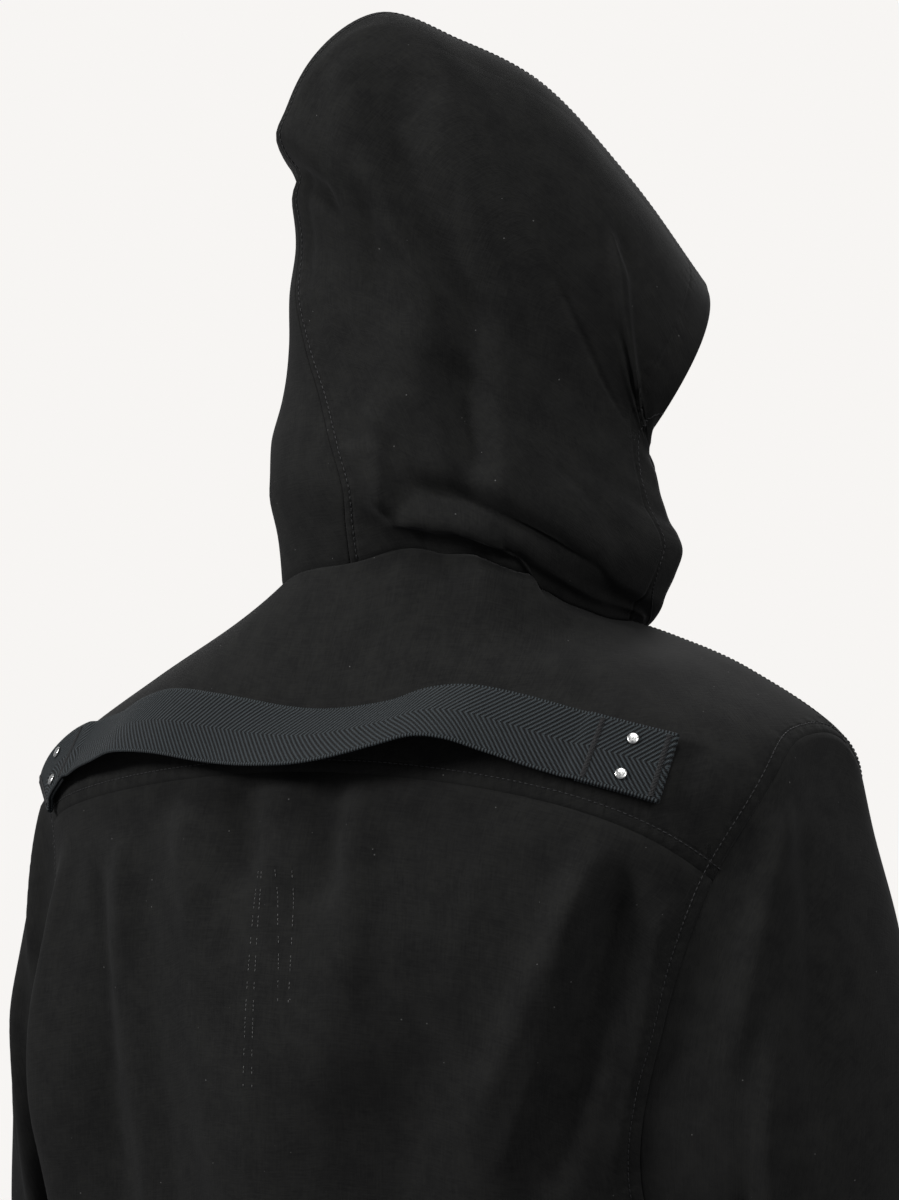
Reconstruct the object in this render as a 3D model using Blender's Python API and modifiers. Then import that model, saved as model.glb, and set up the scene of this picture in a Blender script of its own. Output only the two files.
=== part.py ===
"""Hooded overshirt, worn shape, built piece by piece as it is cut and sewn.

Frame: +Z up, the front faces -Y, the wearer's right side is -X. The origin is the middle of the neck seam.
Every cloth piece is a wall of even thickness on one of three surfaces: torso, sleeve or hood. Each surface
is a function of an angle round the body part and a distance along it, worked out from a short table of
sections, plus soft folds. Pieces that meet share the samples of their seam and stand SEAM_GAP apart.
Lengths are millimetres and angles are degrees, until make_object scales a mesh to metres.
"""

import math

import bpy
import numpy as np
from mathutils import Vector

MM = 0.001
COLLECTION = "hooded_overshirt"

# Driving dimensions
CLOTH = 2.0                 # wall of the doubled cloth
SEAM_GAP = 0.3              # between neighbouring pieces
NECK_END = 142              # the hood's front edges meet the neck seam at this angle
NECK_YOKE = 106             # the front yoke seam meets the neck seam at this angle
ARMHOLE_TOP = 116           # distance down the torso of the shoulder tip
ARMHOLE_BOTTOM = 362        # and of the underarm
ARMHOLE_BACK = 32           # reach of the armhole behind the side, degrees
ARMHOLE_FRONT = 33          # and in front of it
ARMHOLE_SKEW = 0.28         # wider below than above
ARMHOLE_SQUARE = 2.4        # exponent of the armhole's rounded outline
YOKE_BACK_TURN = 65.5       # place of the back yoke seam's end on the armhole
YOKE_FRONT_TURN = -26       # place of the front yoke seam's end on the armhole
YOKE_DOWN = 118             # the back yoke seam at the centre back
YOKE_CURVE = 1.8            # how late the back yoke seam turns down
CORNER_NECK = 56            # neck angle that faces the corner of yoke seam and armhole
NECK_RISE_LENGTH = 48       # the rises of the neck seam fade out over this distance down
CHEST_SAG = 60              # the line between a panel's upper and lower part hangs this much
HEM_DOWN = 745
BAND_WIDTH = 36             # button band
BAND_CLOTH = 1.6
SLEEVE_SEAM = 590           # where the cuff is sewn on
SLEEVE_EASE = 130           # length over which the armhole's outline becomes the sleeve's
CUFF_END = 650
CUFF_CLOTH = 2.6
HOOD_LENGTH = 572           # along the centre seam from nape to brim
RIDGE_ANGLE = 26            # the hood's centre seam stands up over this angle
RIDGE_FORWARD = 20          # and away from this middle of the head room
RIDGE_UP = 130
STRAP_WIDTH = 40
STRAP_THICK = 1.8
STRAP_FOLD = 46             # length of the doubled strap ends
STUD_DIAMETER = 6.5
STUD_HEIGHT = 1.4
STUD_SPACING = 21
STUD_FROM_END = 23
BUTTON_DIAMETER = 15
CUFF_BUTTON_DIAMETER = 12
BUTTON_HEIGHT = 3
BUTTON_COUNT = 7
BUTTON_FIRST = 26           # distance down of the top button
BUTTON_LAST = 660
CUFF_BUTTON_TURN = 60.0     # place round the cuff
DISC_EDGE = 0.3             # bevel of studs and buttons, as a share of their height
FOLD_RISE = 5               # a fold reaches its height over one part in so many of its length
FOLD_FADE = 3               # and dies away over one part in so many

# Samples of the walls
YOKE_COLUMNS = 13           # half of the back yoke seam
SHOULDER_COLUMNS = 6        # armhole between the yoke seams
FRONT_ROWS = 7              # front yoke seam
LEG_ROWS = 10               # armhole from a yoke seam to the underarm
LOWER_ROWS = 9              # chest to hem
NECK_COLUMNS = 3            # neck seam from the front yoke seam to the hood's end
EDGE_COLUMNS = 4            # and on to the centre front
CREASED_LENGTH = 150        # sleeve and hood have closer rows over this length
CREASED_ROWS = 7
SLEEVE_ROWS = 11            # on to the cuff
HOOD_ROWS = 13              # on to the brim
CUFF_ROWS = 2
BAND_COLUMNS = 4
STRAP_SAMPLES = 56
STRAP_COLUMN_COUNT = 3
DISC_SIDES = 16

TORSO_COLUMNS = ("down", "half_width", "side_y", "side_z", "back_y", "back_z", "front_y", "front_z",
                 "square", "roll")
TORSO_SECTIONS = (
    (0, 99, 0, -8, 110, 26, 105, -36, 2.0, 0),
    (30, 128, 4, -17, 122, 0, 108, -66, 2.1, 4),
    (75, 184, 11, -40, 140, -41, 108, -110, 2.2, 12),
    (120, 246, 21, -79, 153, -84, 110, -150, 2.35, 19),
    (185, 245, 19, -140, 166, -148, 118, -205, 2.45, 8),
    (255, 230, 12, -225, 173, -217, 125, -262, 2.4, 0),
    (362, 203, 1, -358, 174, -325, 130, -358, 2.3, 0),
    (420, 192, 0, -410, 174, -382, 129, -402, 2.3, 0),
    (520, 193, 0, -500, 171, -482, 128, -492, 2.3, 0),
    (640, 199, 0, -610, 168, -602, 127, -607, 2.3, 0),
    (745, 205, 0, -700, 166, -706, 126, -700, 2.3, 0),
)

# The neck seam is pulled up behind the right shoulder
NECK_RISE_COLUMNS = ("angle", "half_width", "height")
NECK_RISES = (
    (-41, 19, 13),
    (-21, 16, 12),
    (-76, 13, 7),
)

SLEEVE_COLUMNS = ("along", "outer_x", "outer_z", "inner_x", "inner_z", "mid_y", "half_depth")
SLEEVE_SECTIONS = (
    (0, 246, -79, 203, -358, 22, 92),
    (35, 255, -110, 206, -362, 20, 88),
    (75, 270, -150, 210, -368, 17, 84),
    (140, 285, -215, 215, -382, 12, 79),
    (228, 302, -300, 221, -412, 4, 74),
    (330, 315, -400, 229, -462, -6, 69),
    (412, 318, -480, 236, -525, -26, 63),
    (495, 317, -560, 242, -590, -58, 56),
    (590, 309, -648, 246, -664, -96, 50),
    (650, 303, -705, 250, -718, -120, 48),
)

HOOD_COLUMNS = ("along", "seam_q", "seam_z", "edge_q", "edge_z", "half_width", "yaw", "edge_yaw",
                "ridge", "far_lead")
HOOD_SECTIONS = (
    (0, -110, 26, 83, -28, 99, 0, 0, 0, 0),
    (22, -114, 48, 86, -12, 107, 0, 22, 0, 30),
    (44, -117, 70, 92, 2, 120, 0, 36, 0, 46),
    (68, -112, 94, 104, 17, 121, 6, 44, 1, 32),
    (94, -104, 118, 111, 30, 115, 15, 46, 1, 20),
    (122, -100, 146, 111, 40, 106, 26, 48, 2, 14),
    (148, -99, 172, 108, 47, 99, 34, 49, 2, 10),
    (176, -95, 200, 106, 56, 94, 37, 50, 2, 12),
    (212, -99, 236, 104, 63, 90, 40, 50, 3, 12),
    (238, -102, 260, 103, 69, 87, 40, 50, 4, 12),
    (274, -88, 295, 102, 74, 84, 40, 50, 5, 11),
    (324, -48, 324, 100, 79, 80, 40, 50, 5, 10),
    (372, -3, 309, 99, 83, 78, 40, 50, 5, 8),
    (422, 39, 289, 99, 87, 76, 40, 50, 4, 6),
    (492, 90, 237, 100, 91, 74, 40, 50, 4, 3),
    (HOOD_LENGTH, 136, 178, 100, 95, 66, 40, 50, 3, 0),
)

# Strap from its right end to its left one: angle round the torso, distance down it, lift of its middle
# off the cloth, and how far its lower edge tips out, in degrees
STRAP_COLUMNS = ("angle", "down", "lift", "tip")
STRAP_ROUTE = (
    (-53, 125, 0.7, 0),
    (-47, 118, 0.8, 0),
    (-41, 111, 2, 0),
    (-35.5, 105, 6, 2),
    (-29.5, 98, 11, 10),
    (-24, 93, 16, 22),
    (-18.5, 92, 17, 32),
    (-12, 96, 15, 38),
    (-3, 101, 14, 34),
    (2.5, 101, 13, 26),
    (12, 98, 13, 8),
    (22, 97, 15, 6),
    (31, 101, 13, 14),
    (38, 107, 7, 14),
    (44.5, 112, 3.5, 8),
    (50.5, 120, 1.4, 0),
    (54.5, 133, 0.9, 0),
    (57, 150, 0.8, 0),
)

FOLD_COLUMNS = ("angle_1", "down_1", "angle_2", "down_2", "bend", "width", "height")
TORSO_FOLDS = (
    (-60, -8, -30, 8, -6, 22, 9),
    (-40, 150, -31, 340, -10, 15, 7),
    (-46, 165, -38, 350, -6, 13, -9),
    (-5, 120, -6, 330, 0, 13, 4),
    (2, 118, 1, 420, 0, 10, 4),
    (14, 122, 4, 420, 0, 17, 6),
    (-2, 150, -5, 900, 0, 42, 11),
    (49, 180, 62, 900, 0, 34, 38),
    (28, 130, 27, 500, 0, 13, 4),
    (21, 140, 19, 460, 0, 9, -4),
    (-10, 250, -13, 560, 5, 22, -6),
    (44, 160, 60, 470, 8, 12, 6),
    (-128, 200, -140, 460, 8, 16, 5),
    (130, 190, 142, 480, -8, 16, 5),
    (-150, 260, -146, 620, 6, 15, -4),
    (152, 240, 148, 600, -6, 15, -4),
)
HOOD_FOLDS = (
    (-18, 320, -80, 205, 8, 15, -5),
    (-45, 250, -40, 150, 0, 10, -4),
    (-72, 445, -134, 425, 0, 12, 7),
    (-10, 74, -16, 24, -4, 9, 6),
    (-14, 26, -62, 34, 2, 9, 7),
    (-18, 50, -104, 44, 2, 8, -8),
    (-76, 175, -48, 56, 0, 11, -5),
    (30, 60, 96, 44, 4, 10, -6),
    (24, 150, 84, 110, 8, 14, -5),
)
SLEEVE_FOLDS = (
    (30, 12, 88, 80, -6, 12, 6),
    (22, 30, 52, 190, 4, 12, -5),
    (60, 70, 110, 330, 8, 14, 6),
    (92, 90, 120, 340, 6, 13, -5),
    (50, 330, 120, 390, 6, 12, -6),
    (-60, 60, -110, 300, 8, 14, 5),
    (60, 450, 130, 520, 6, 11, -4),
)
TORSO_MM_PER_DEGREE = 3.4
HOOD_MM_PER_DEGREE = 1.7
SLEEVE_MM_PER_DEGREE = 1.35

BLACK_CLOTH = (0.0135, 0.0135, 0.0138, 1.0)
BLACK_WEBBING = (0.017, 0.018, 0.019, 1.0)
SILVER = (0.74, 0.74, 0.73, 1.0)
BLACK_HORN = (0.012, 0.012, 0.012, 1.0)


def read_table(columns, rows):
    """One array for each named column."""
    return {name: np.array([row[place] for row in rows], float) for place, name in enumerate(columns)}


TORSO = read_table(TORSO_COLUMNS, TORSO_SECTIONS)
SLEEVE = read_table(SLEEVE_COLUMNS, SLEEVE_SECTIONS)
HOOD = read_table(HOOD_COLUMNS, HOOD_SECTIONS)
STRAP = read_table(STRAP_COLUMNS, STRAP_ROUTE)


def smooth(fraction):
    """0 to 1 with a soft start and end."""
    fraction = np.clip(fraction, 0, 1)
    return fraction * fraction * (3 - 2 * fraction)


def curve_through(knots, values, places):
    """Cubic curve through the table's rows: each row's slope is that of the line between its neighbours."""
    slopes = np.gradient(values, knots)
    row = np.clip(np.searchsorted(knots, places, side="right") - 1, 0, len(knots) - 2)
    step = knots[row + 1] - knots[row]
    part = (places - knots[row]) / step
    rise = values[row + 1] - values[row]
    start, end = slopes[row] * step, slopes[row + 1] * step
    square, cube = 3 * rise - 2 * start - end, start + end - 2 * rise
    return values[row] + part * (start + part * (square + part * cube))


def column(table, key, name, places):
    return curve_through(table[key], table[name], places)


def fold_height(folds, angle, down, mm_per_degree):
    """Sum of soft ridges and troughs, each along a bent line from its first place to its second."""
    total = np.zeros(np.broadcast(angle, down).shape)
    for angle_1, down_1, angle_2, down_2, bend, width, height in folds:
        run_x, run_y = (angle_2 - angle_1) * mm_per_degree, down_2 - down_1
        length = math.hypot(run_x, run_y)
        run_x, run_y = run_x / length, run_y / length
        to_x, to_y = (angle - angle_1) * mm_per_degree, down - down_1
        along = (to_x * run_x + to_y * run_y) / length
        inside = np.clip(along, 0, 1)
        aside = to_x * run_y - to_y * run_x - 4 * bend * inside * (1 - inside)
        past = (along - inside) * length
        crest = height * smooth(inside * FOLD_RISE) * smooth((1 - inside) * FOLD_FADE)
        total += crest * np.exp(-(aside**2 + past**2) / width**2)
    return total


def torso_base(angle, down):
    """Point of the torso at an angle from the centre back, the wearer's left counted positive."""
    angle, down = np.broadcast_arrays(np.asarray(angle, float), np.asarray(down, float))
    sine, cosine = np.sin(np.radians(angle)), np.cos(np.radians(angle))
    take = {name: column(TORSO, "down", name, down) for name in TORSO_COLUMNS[1:]}
    power = 2 / take["square"]
    behind = cosine >= 0
    depth = np.where(behind, take["back_y"] - take["side_y"], take["front_y"] + take["side_y"])
    end_z = np.where(behind, take["back_z"], take["front_z"])
    across = np.sign(sine) * np.abs(sine) ** power
    x = take["half_width"] * across
    y = take["side_y"] + np.sign(cosine) * depth * np.abs(cosine) ** power
    z = take["side_z"] * sine**2 + end_z * cosine**2 - take["roll"] * across
    rise = sum(height * np.exp(-((angle - middle) / spread) ** 2) for middle, spread, height in NECK_RISES)
    z = z + rise * (1 - smooth(down / NECK_RISE_LENGTH))
    return np.stack([x, y, z], axis=-1)


def sleeve_base(angle, along):
    """Point of the left sleeve: angle 0 is its outer line, 90 its back, 180 its underarm line."""
    angle, along = np.broadcast_arrays(np.asarray(angle, float), np.asarray(along, float))
    turn = np.radians(angle)
    take = {name: column(SLEEVE, "along", name, along) for name in SLEEVE_COLUMNS[1:]}
    x = (take["outer_x"] + take["inner_x"]) / 2 + (take["outer_x"] - take["inner_x"]) / 2 * np.cos(turn)
    y = take["mid_y"] + take["half_depth"] * np.sin(turn)
    z = (take["outer_z"] + take["inner_z"]) / 2 + (take["outer_z"] - take["inner_z"]) / 2 * np.cos(turn)
    ellipse = np.stack([x, y, z], axis=-1)
    if np.all(along == 0):
        return ellipse
    return ellipse + sleeve_start(angle) * (1 - smooth(along / SLEEVE_EASE))[..., None]


def armhole(turn, side=1):
    """Angle and distance down the torso of the armhole at a turn: 0 the shoulder tip, 90 the back."""
    radians = np.radians(turn)
    power = 2 / ARMHOLE_SQUARE
    sine, cosine = np.sin(radians), np.cos(radians)
    reach = np.where(sine >= 0, ARMHOLE_BACK, ARMHOLE_FRONT) * (1 - ARMHOLE_SKEW * cosine)
    angle = 90 - reach * np.sign(sine) * np.abs(sine) ** power
    middle, half = (ARMHOLE_TOP + ARMHOLE_BOTTOM) / 2, (ARMHOLE_BOTTOM - ARMHOLE_TOP) / 2
    return side * angle, middle - half * np.sign(cosine) * np.abs(cosine) ** power


def sleeve_start(angle):
    """How far the armhole's outline lies from the sleeve's first ellipse, on the left side."""
    return torso(*armhole(angle)) - sleeve_base(angle, np.zeros(np.shape(angle)))


def hood_base(angle, along):
    """Point of the hood: angle 0 is the centre seam, the wearer's left counted positive.

    Each row is part of an ellipse from the centre seam, round the side, to the front edge. Rows rise from
    the neck, pass over the crown and end at the brim, and turn to the wearer's right as the head does.
    """
    angle, along = np.broadcast_arrays(np.asarray(angle, float), np.asarray(along, float))
    turn = np.radians(angle)
    take = {name: column(HOOD, "along", name, along) for name in HOOD_COLUMNS[1:]}
    share = (1 - np.cos(turn)) / (1 - math.cos(math.radians(NECK_END)))
    lead = np.where(angle > 0, take["far_lead"], 0) * smooth(np.abs(angle) / NECK_END)
    forward = take["seam_q"] + (take["edge_q"] - take["seam_q"]) * share + lead
    z = take["seam_z"] + (take["edge_z"] - take["seam_z"]) * share
    stand = take["ridge"] * np.clip(1 - np.abs(angle) / RIDGE_ANGLE, 0, 1)
    reach = np.hypot(take["seam_q"] - RIDGE_FORWARD, take["seam_z"] - RIDGE_UP)
    forward = forward + stand * (take["seam_q"] - RIDGE_FORWARD) / reach
    z = z + stand * (take["seam_z"] - RIDGE_UP) / reach
    aside = take["half_width"] * np.sin(turn)
    yaw = np.radians(take["yaw"] + (take["edge_yaw"] - take["yaw"]) * smooth(np.abs(angle) / NECK_END))
    x = aside * np.cos(yaw) - forward * np.sin(yaw)
    y = -aside * np.sin(yaw) - forward * np.cos(yaw)
    free = np.stack([x, y, z], axis=-1)
    sewn = torso(angle, 0 * angle)
    weight = 1 - smooth(along / HOOD["along"][2])
    start = {name: HOOD[name][0] for name in HOOD_COLUMNS[1:]}
    first_forward = start["seam_q"] + (start["edge_q"] - start["seam_q"]) * share
    first_z = start["seam_z"] + (start["edge_z"] - start["seam_z"]) * share
    first = np.stack([start["half_width"] * np.sin(turn), -first_forward, first_z], axis=-1)
    return free + (sewn - first) * weight[..., None]


def normals(surface, angle, down, outward, turn_step=0.5, mm_step=1.0):
    """Outward normals of a surface, from small steps to both sides."""
    around = surface(angle + turn_step, down) - surface(angle - turn_step, down)
    onward = surface(angle, down + mm_step) - surface(angle, down - mm_step)
    cross = outward * np.cross(around, onward)
    return cross / np.linalg.norm(cross, axis=-1, keepdims=True)


def folded(base, outward, folds, mm_per_degree):
    """The surface with its folds raised along its outward normals."""
    def surface(angle, down):
        height = fold_height(folds, angle, down, mm_per_degree)
        return base(angle, down) + normals(base, angle, down, outward) * height[..., None]
    return surface


TORSO_OUTWARD, HOOD_OUTWARD, SLEEVE_OUTWARD = 1, -1, -1
torso = folded(torso_base, TORSO_OUTWARD, TORSO_FOLDS, TORSO_MM_PER_DEGREE)
hood = folded(hood_base, HOOD_OUTWARD, HOOD_FOLDS, HOOD_MM_PER_DEGREE)
sleeve = folded(sleeve_base, SLEEVE_OUTWARD, SLEEVE_FOLDS, SLEEVE_MM_PER_DEGREE)


# ---------------------------------------------------------------- seams and patches, as (angle, down)

def pairs(angle, down):
    angle, down = np.broadcast_arrays(np.asarray(angle, float), np.asarray(down, float))
    return np.stack([angle, down], axis=-1)


def ruled(first, last, rows):
    """Rows of straight lines between two lines with equal numbers of samples."""
    share = np.linspace(0, 1, rows)[:, None, None]
    return first[None] * (1 - share) + last[None] * share


def coons(top, bottom, left, right):
    """Patch inside four sampled borders; left and right run from top to bottom."""
    rows, columns = len(left), len(top)
    v = np.linspace(0, 1, rows)[:, None, None]
    u = np.linspace(0, 1, columns)[None, :, None]
    between = (1 - v) * top[None] + v * bottom[None] + (1 - u) * left[:, None] + u * right[:, None]
    corners = ((1 - v) * ((1 - u) * top[0] + u * top[-1]) + v * ((1 - u) * bottom[0] + u * bottom[-1]))
    return between - corners


def even_turns(first_turn, last_turn, steps):
    """Turns of the armhole that part this stretch of its seam into equal lengths."""
    fine = np.linspace(first_turn, last_turn, 200)
    seam = torso_base(*armhole(fine))
    length = np.concatenate([[0], np.cumsum(np.linalg.norm(np.diff(seam, axis=0), axis=1))])
    return np.interp(np.linspace(0, length[-1], steps + 1), length, fine)


def armhole_line(first_turn, last_turn, steps, side):
    return pairs(*armhole(even_turns(first_turn, last_turn, steps), side))


def yoke_seam(steps):
    """The back yoke seam from the right armhole to the left one."""
    end_angle, end_down = armhole(YOKE_BACK_TURN)
    angle = np.linspace(-end_angle, end_angle, 2 * steps + 1)
    return pairs(angle, YOKE_DOWN + (end_down - YOKE_DOWN) * np.abs(angle / end_angle) ** YOKE_CURVE)


def front_seam(side, steps):
    """The front yoke seam, from the armhole to the neck."""
    first = pairs(*armhole(YOKE_FRONT_TURN, side))
    last = pairs(side * NECK_YOKE, 0)
    return ruled(first[None], last[None], steps + 1)[:, 0]


def chest_line(angle):
    """Line across a panel from underarm to underarm, where its upper part ends; it hangs a little."""
    from_side = 1 - np.abs(np.cos(np.radians(angle)))
    return pairs(angle, ARMHOLE_BOTTOM + CHEST_SAG * (1 - from_side**2))


def neck_angles():
    """Neck samples of one half: behind, over the shoulder, and to the end of the hood."""
    behind = np.linspace(0, CORNER_NECK, YOKE_COLUMNS + 1)
    shoulder = np.linspace(CORNER_NECK, NECK_YOKE, SHOULDER_COLUMNS + 1)[1:]
    front = np.linspace(NECK_YOKE, NECK_END, NECK_COLUMNS + 1)[1:]
    return behind, shoulder, front


def yoke_patch():
    behind, shoulder, _ = neck_angles()
    half = np.concatenate([behind, shoulder])
    inner = pairs(np.concatenate([-half[:0:-1], half]), 0)
    right = armhole_line(YOKE_FRONT_TURN, YOKE_BACK_TURN, SHOULDER_COLUMNS, -1)
    left = armhole_line(YOKE_FRONT_TURN, YOKE_BACK_TURN, SHOULDER_COLUMNS, 1)[::-1]
    outer = np.concatenate([right[:-1], yoke_seam(YOKE_COLUMNS), left[1:]])
    return ruled(inner, outer, FRONT_ROWS + 1)


def back_patch():
    left = armhole_line(YOKE_BACK_TURN, 180, LEG_ROWS, -1)
    right = armhole_line(YOKE_BACK_TURN, 180, LEG_ROWS, 1)
    chest = chest_line(np.linspace(-90, 90, 2 * YOKE_COLUMNS + 1))
    hem = pairs(chest[:, 0], HEM_DOWN)
    upper = coons(yoke_seam(YOKE_COLUMNS), chest, left, right)
    return np.concatenate([upper, ruled(chest, hem, LOWER_ROWS + 1)[1:]])


def front_patch(side):
    _, _, neck = neck_angles()
    neck = np.concatenate([neck, np.linspace(NECK_END, 180, EDGE_COLUMNS + 1)[1:]])
    top = np.concatenate([front_seam(side, FRONT_ROWS), pairs(side * neck, 0)])
    outside = armhole_line(YOKE_FRONT_TURN, -180, LEG_ROWS, side)
    chest = chest_line(side * np.linspace(90, 180, len(top)))
    centre = pairs(side * 180, np.linspace(0, chest[-1, 1], LEG_ROWS + 1))
    hem = pairs(chest[:, 0], HEM_DOWN)
    return np.concatenate([coons(top, chest, outside, centre), ruled(chest, hem, LOWER_ROWS + 1)[1:]])


def sleeve_turns():
    """The armhole's samples in order round it, as its neighbours have them."""
    front = even_turns(YOKE_FRONT_TURN, -180, LEG_ROWS)[:0:-1]
    shoulder = even_turns(YOKE_FRONT_TURN, YOKE_BACK_TURN, SHOULDER_COLUMNS)[:-1]
    back = even_turns(YOKE_BACK_TURN, 180, LEG_ROWS)[:-1]
    return np.concatenate([front, shoulder, back])


# ---------------------------------------------------------------- meshes

def inset(points, facing, sides, closed):
    """Moves the named border rows half a seam gap into the piece, square to the border."""
    points = points.copy()
    views = {"first": (points, facing), "last": (points[::-1], facing[::-1]),
             "left": (points.swapaxes(0, 1), facing.swapaxes(0, 1)),
             "right": (points.swapaxes(0, 1)[::-1], facing.swapaxes(0, 1)[::-1])}
    moves = []
    for side in sides:
        grid, grid_facing = views[side]
        line = grid[0]
        if closed:
            run = np.roll(line, -1, axis=0) - np.roll(line, 1, axis=0)
        else:
            run = np.gradient(line, axis=0)
        square = np.cross(grid_facing[0], run)
        square /= np.linalg.norm(square, axis=-1, keepdims=True)
        inward = np.sign(np.sum(square * (grid[1] - line), axis=-1, keepdims=True))
        moves.append((line, square * inward * SEAM_GAP / 2))
    for line, move in moves:
        line += move
    return points


def wall_mesh(name, points, facing, thickness, closed=False):
    """Closed wall: the outer grid, the same grid moved in by the thickness, and strips along the borders."""
    rows, columns = points.shape[:2]
    outer = points.reshape(-1, 3)
    inner = (points - facing * thickness).reshape(-1, 3)
    place = np.arange(rows * columns).reshape(rows, columns)
    if closed:
        place = np.concatenate([place, place[:, :1]], axis=1)
    quads = np.stack([place[:-1, :-1], place[:-1, 1:], place[1:, 1:], place[1:, :-1]], axis=-1)
    quads = quads.reshape(-1, 4)
    borders = [place[0, :], place[-1, ::-1]]
    if not closed:
        borders += [place[::-1, 0], place[:, -1]]
    below = rows * columns
    rim = np.concatenate([np.stack([line[1:], line[:-1], line[:-1] + below, line[1:] + below], axis=-1)
                          for line in borders])
    faces = np.concatenate([quads, quads[:, ::-1] + below, rim])
    middle = quads[len(quads) // 2]
    across = np.cross(outer[middle[1]] - outer[middle[0]], outer[middle[2]] - outer[middle[1]])
    if np.dot(across, facing.reshape(-1, 3)[middle[0]]) < 0:
        faces = faces[:, ::-1]
    mesh = bpy.data.meshes.new(name)
    mesh.from_pydata((np.concatenate([outer, inner]) * MM).tolist(), [], faces.tolist())
    mesh.update()
    mesh.shade_smooth()
    mesh.set_sharp_from_angle(angle=math.radians(50))
    return mesh


def material(name, colour, roughness, metallic=0.0):
    made = bpy.data.materials.new(name)
    made.use_nodes = True
    shader = made.node_tree.nodes["Principled BSDF"]
    shader.inputs["Base Color"].default_value = colour
    shader.inputs["Roughness"].default_value = roughness
    shader.inputs["Metallic"].default_value = metallic
    made.diffuse_color = colour
    return made


def make_object(name, mesh, finish):
    piece = bpy.data.objects.new(name, mesh)
    mesh.materials.append(finish)
    bpy.data.collections[COLLECTION].objects.link(piece)
    return piece


def cloth_piece(name, surface, outward, patch, sides, finish, thickness=CLOTH, closed=False, sewn=None):
    """A wall on a surface over a patch of (angle, down) samples.

    sewn gives the first row its wall directions and its shift off the piece that it is sewn to.
    """
    angle, down = patch[..., 0], patch[..., 1]
    facing = normals(surface, angle, down, outward)
    points = inset(surface(angle, down), facing, sides, closed)
    if sewn is not None:
        facing[0], shift = sewn
        points[0] += shift
    return make_object(name, wall_mesh(name, points, facing, thickness, closed), finish)


def mirrored(surface):
    """The right sleeve: the left one mirrored, its start on the right armhole."""
    def surface_right(angle, along):
        points = surface(angle, along) * (-1, 1, 1)
        start = torso(*armhole(angle, -1)) - torso(*armhole(angle)) * (-1, 1, 1)
        return points + start * (1 - smooth(along / SLEEVE_EASE))[..., None]
    return surface_right


def make_torso(finish):
    sewn = ("first", "left", "right")
    cloth_piece("back_yoke", torso, TORSO_OUTWARD, yoke_patch(), (*sewn, "last"), finish)
    cloth_piece("back_panel", torso, TORSO_OUTWARD, back_patch(), sewn, finish)
    for side, label in ((-1, "right"), (1, "left")):
        cloth_piece(f"front_{label}", torso, TORSO_OUTWARD, front_patch(side), sewn, finish)


def sleeve_sides():
    return ("left", 1, sleeve, SLEEVE_OUTWARD), ("right", -1, mirrored(sleeve), -SLEEVE_OUTWARD)


def sewn_to_armhole(surface, outward, turns, side):
    """The sleeve's wall directions at the armhole and its shift off the body's edge.

    The directions are the body's own, turned to the sleeve's where the sleeve leaves outwards.
    """
    body = normals(torso, *armhole(turns, side), TORSO_OUTWARD)
    own = normals(surface, turns, 0 * turns, outward)
    leaving = surface(turns, 0 * turns + 10) - surface(turns, 0 * turns)
    leaving /= np.linalg.norm(leaving, axis=-1, keepdims=True)
    lift = np.clip(np.sum(leaving * body, axis=-1, keepdims=True), 0, 1)
    both = body + 2 * lift * own
    seam = torso(*armhole(turns, side))
    square = np.cross(body, np.roll(seam, -1, axis=0) - np.roll(seam, 1, axis=0))
    square /= np.linalg.norm(square, axis=-1, keepdims=True)
    square *= np.sign(np.sum(square * (seam.mean(axis=0) - seam), axis=-1, keepdims=True))
    return both / np.linalg.norm(both, axis=-1, keepdims=True), square * SEAM_GAP / 2


def even_rows(end, rows):
    """Distances along a sleeve or the hood: closer rows first, wider ones after them."""
    return np.concatenate([np.linspace(0, CREASED_LENGTH, CREASED_ROWS + 1),
                           np.linspace(CREASED_LENGTH, end, rows + 1)[1:]])


def make_sleeves(finish):
    turns = sleeve_turns()
    lengths = even_rows(SLEEVE_SEAM, SLEEVE_ROWS)
    cuff = np.linspace(SLEEVE_SEAM, CUFF_END, CUFF_ROWS + 1)
    for label, side, surface, outward in sleeve_sides():
        sewn = sewn_to_armhole(surface, outward, turns, side)
        for name, places, sides, cloth, first in (
                (f"sleeve_{label}", lengths, ("last",), CLOTH, sewn),
                (f"cuff_{label}", cuff, ("first",), CUFF_CLOTH, None)):
            patch = pairs(turns[None, :], places[:, None])
            cloth_piece(name, surface, outward, patch, sides, finish, cloth, True, first)


def make_hood(finish):
    half = np.concatenate(neck_angles())
    lengths = even_rows(HOOD_LENGTH, HOOD_ROWS)
    for side, label in ((-1, "right"), (1, "left")):
        patch = pairs(side * half[None, :], lengths[:, None])
        cloth_piece(f"hood_{label}", hood, HOOD_OUTWARD, patch, ("first", "left"), finish)


def strap_lines(samples):
    """The route's columns at even steps along the strap, and its length in millimetres."""
    rows = np.arange(len(STRAP_ROUTE), dtype=float)
    fine = np.linspace(0, rows[-1], 400)
    angle, down, lift, tip = (curve_through(rows, STRAP[name], fine) for name in STRAP_COLUMNS)
    points = torso(angle, down) + normals(torso, angle, down, TORSO_OUTWARD) * lift[:, None]
    length = np.concatenate([[0], np.cumsum(np.linalg.norm(np.diff(points, axis=0), axis=1))])
    even = np.linspace(0, length[-1], samples)
    return [np.interp(even, length, values) for values in (angle, down, lift, tip)] + [length[-1]]


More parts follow.
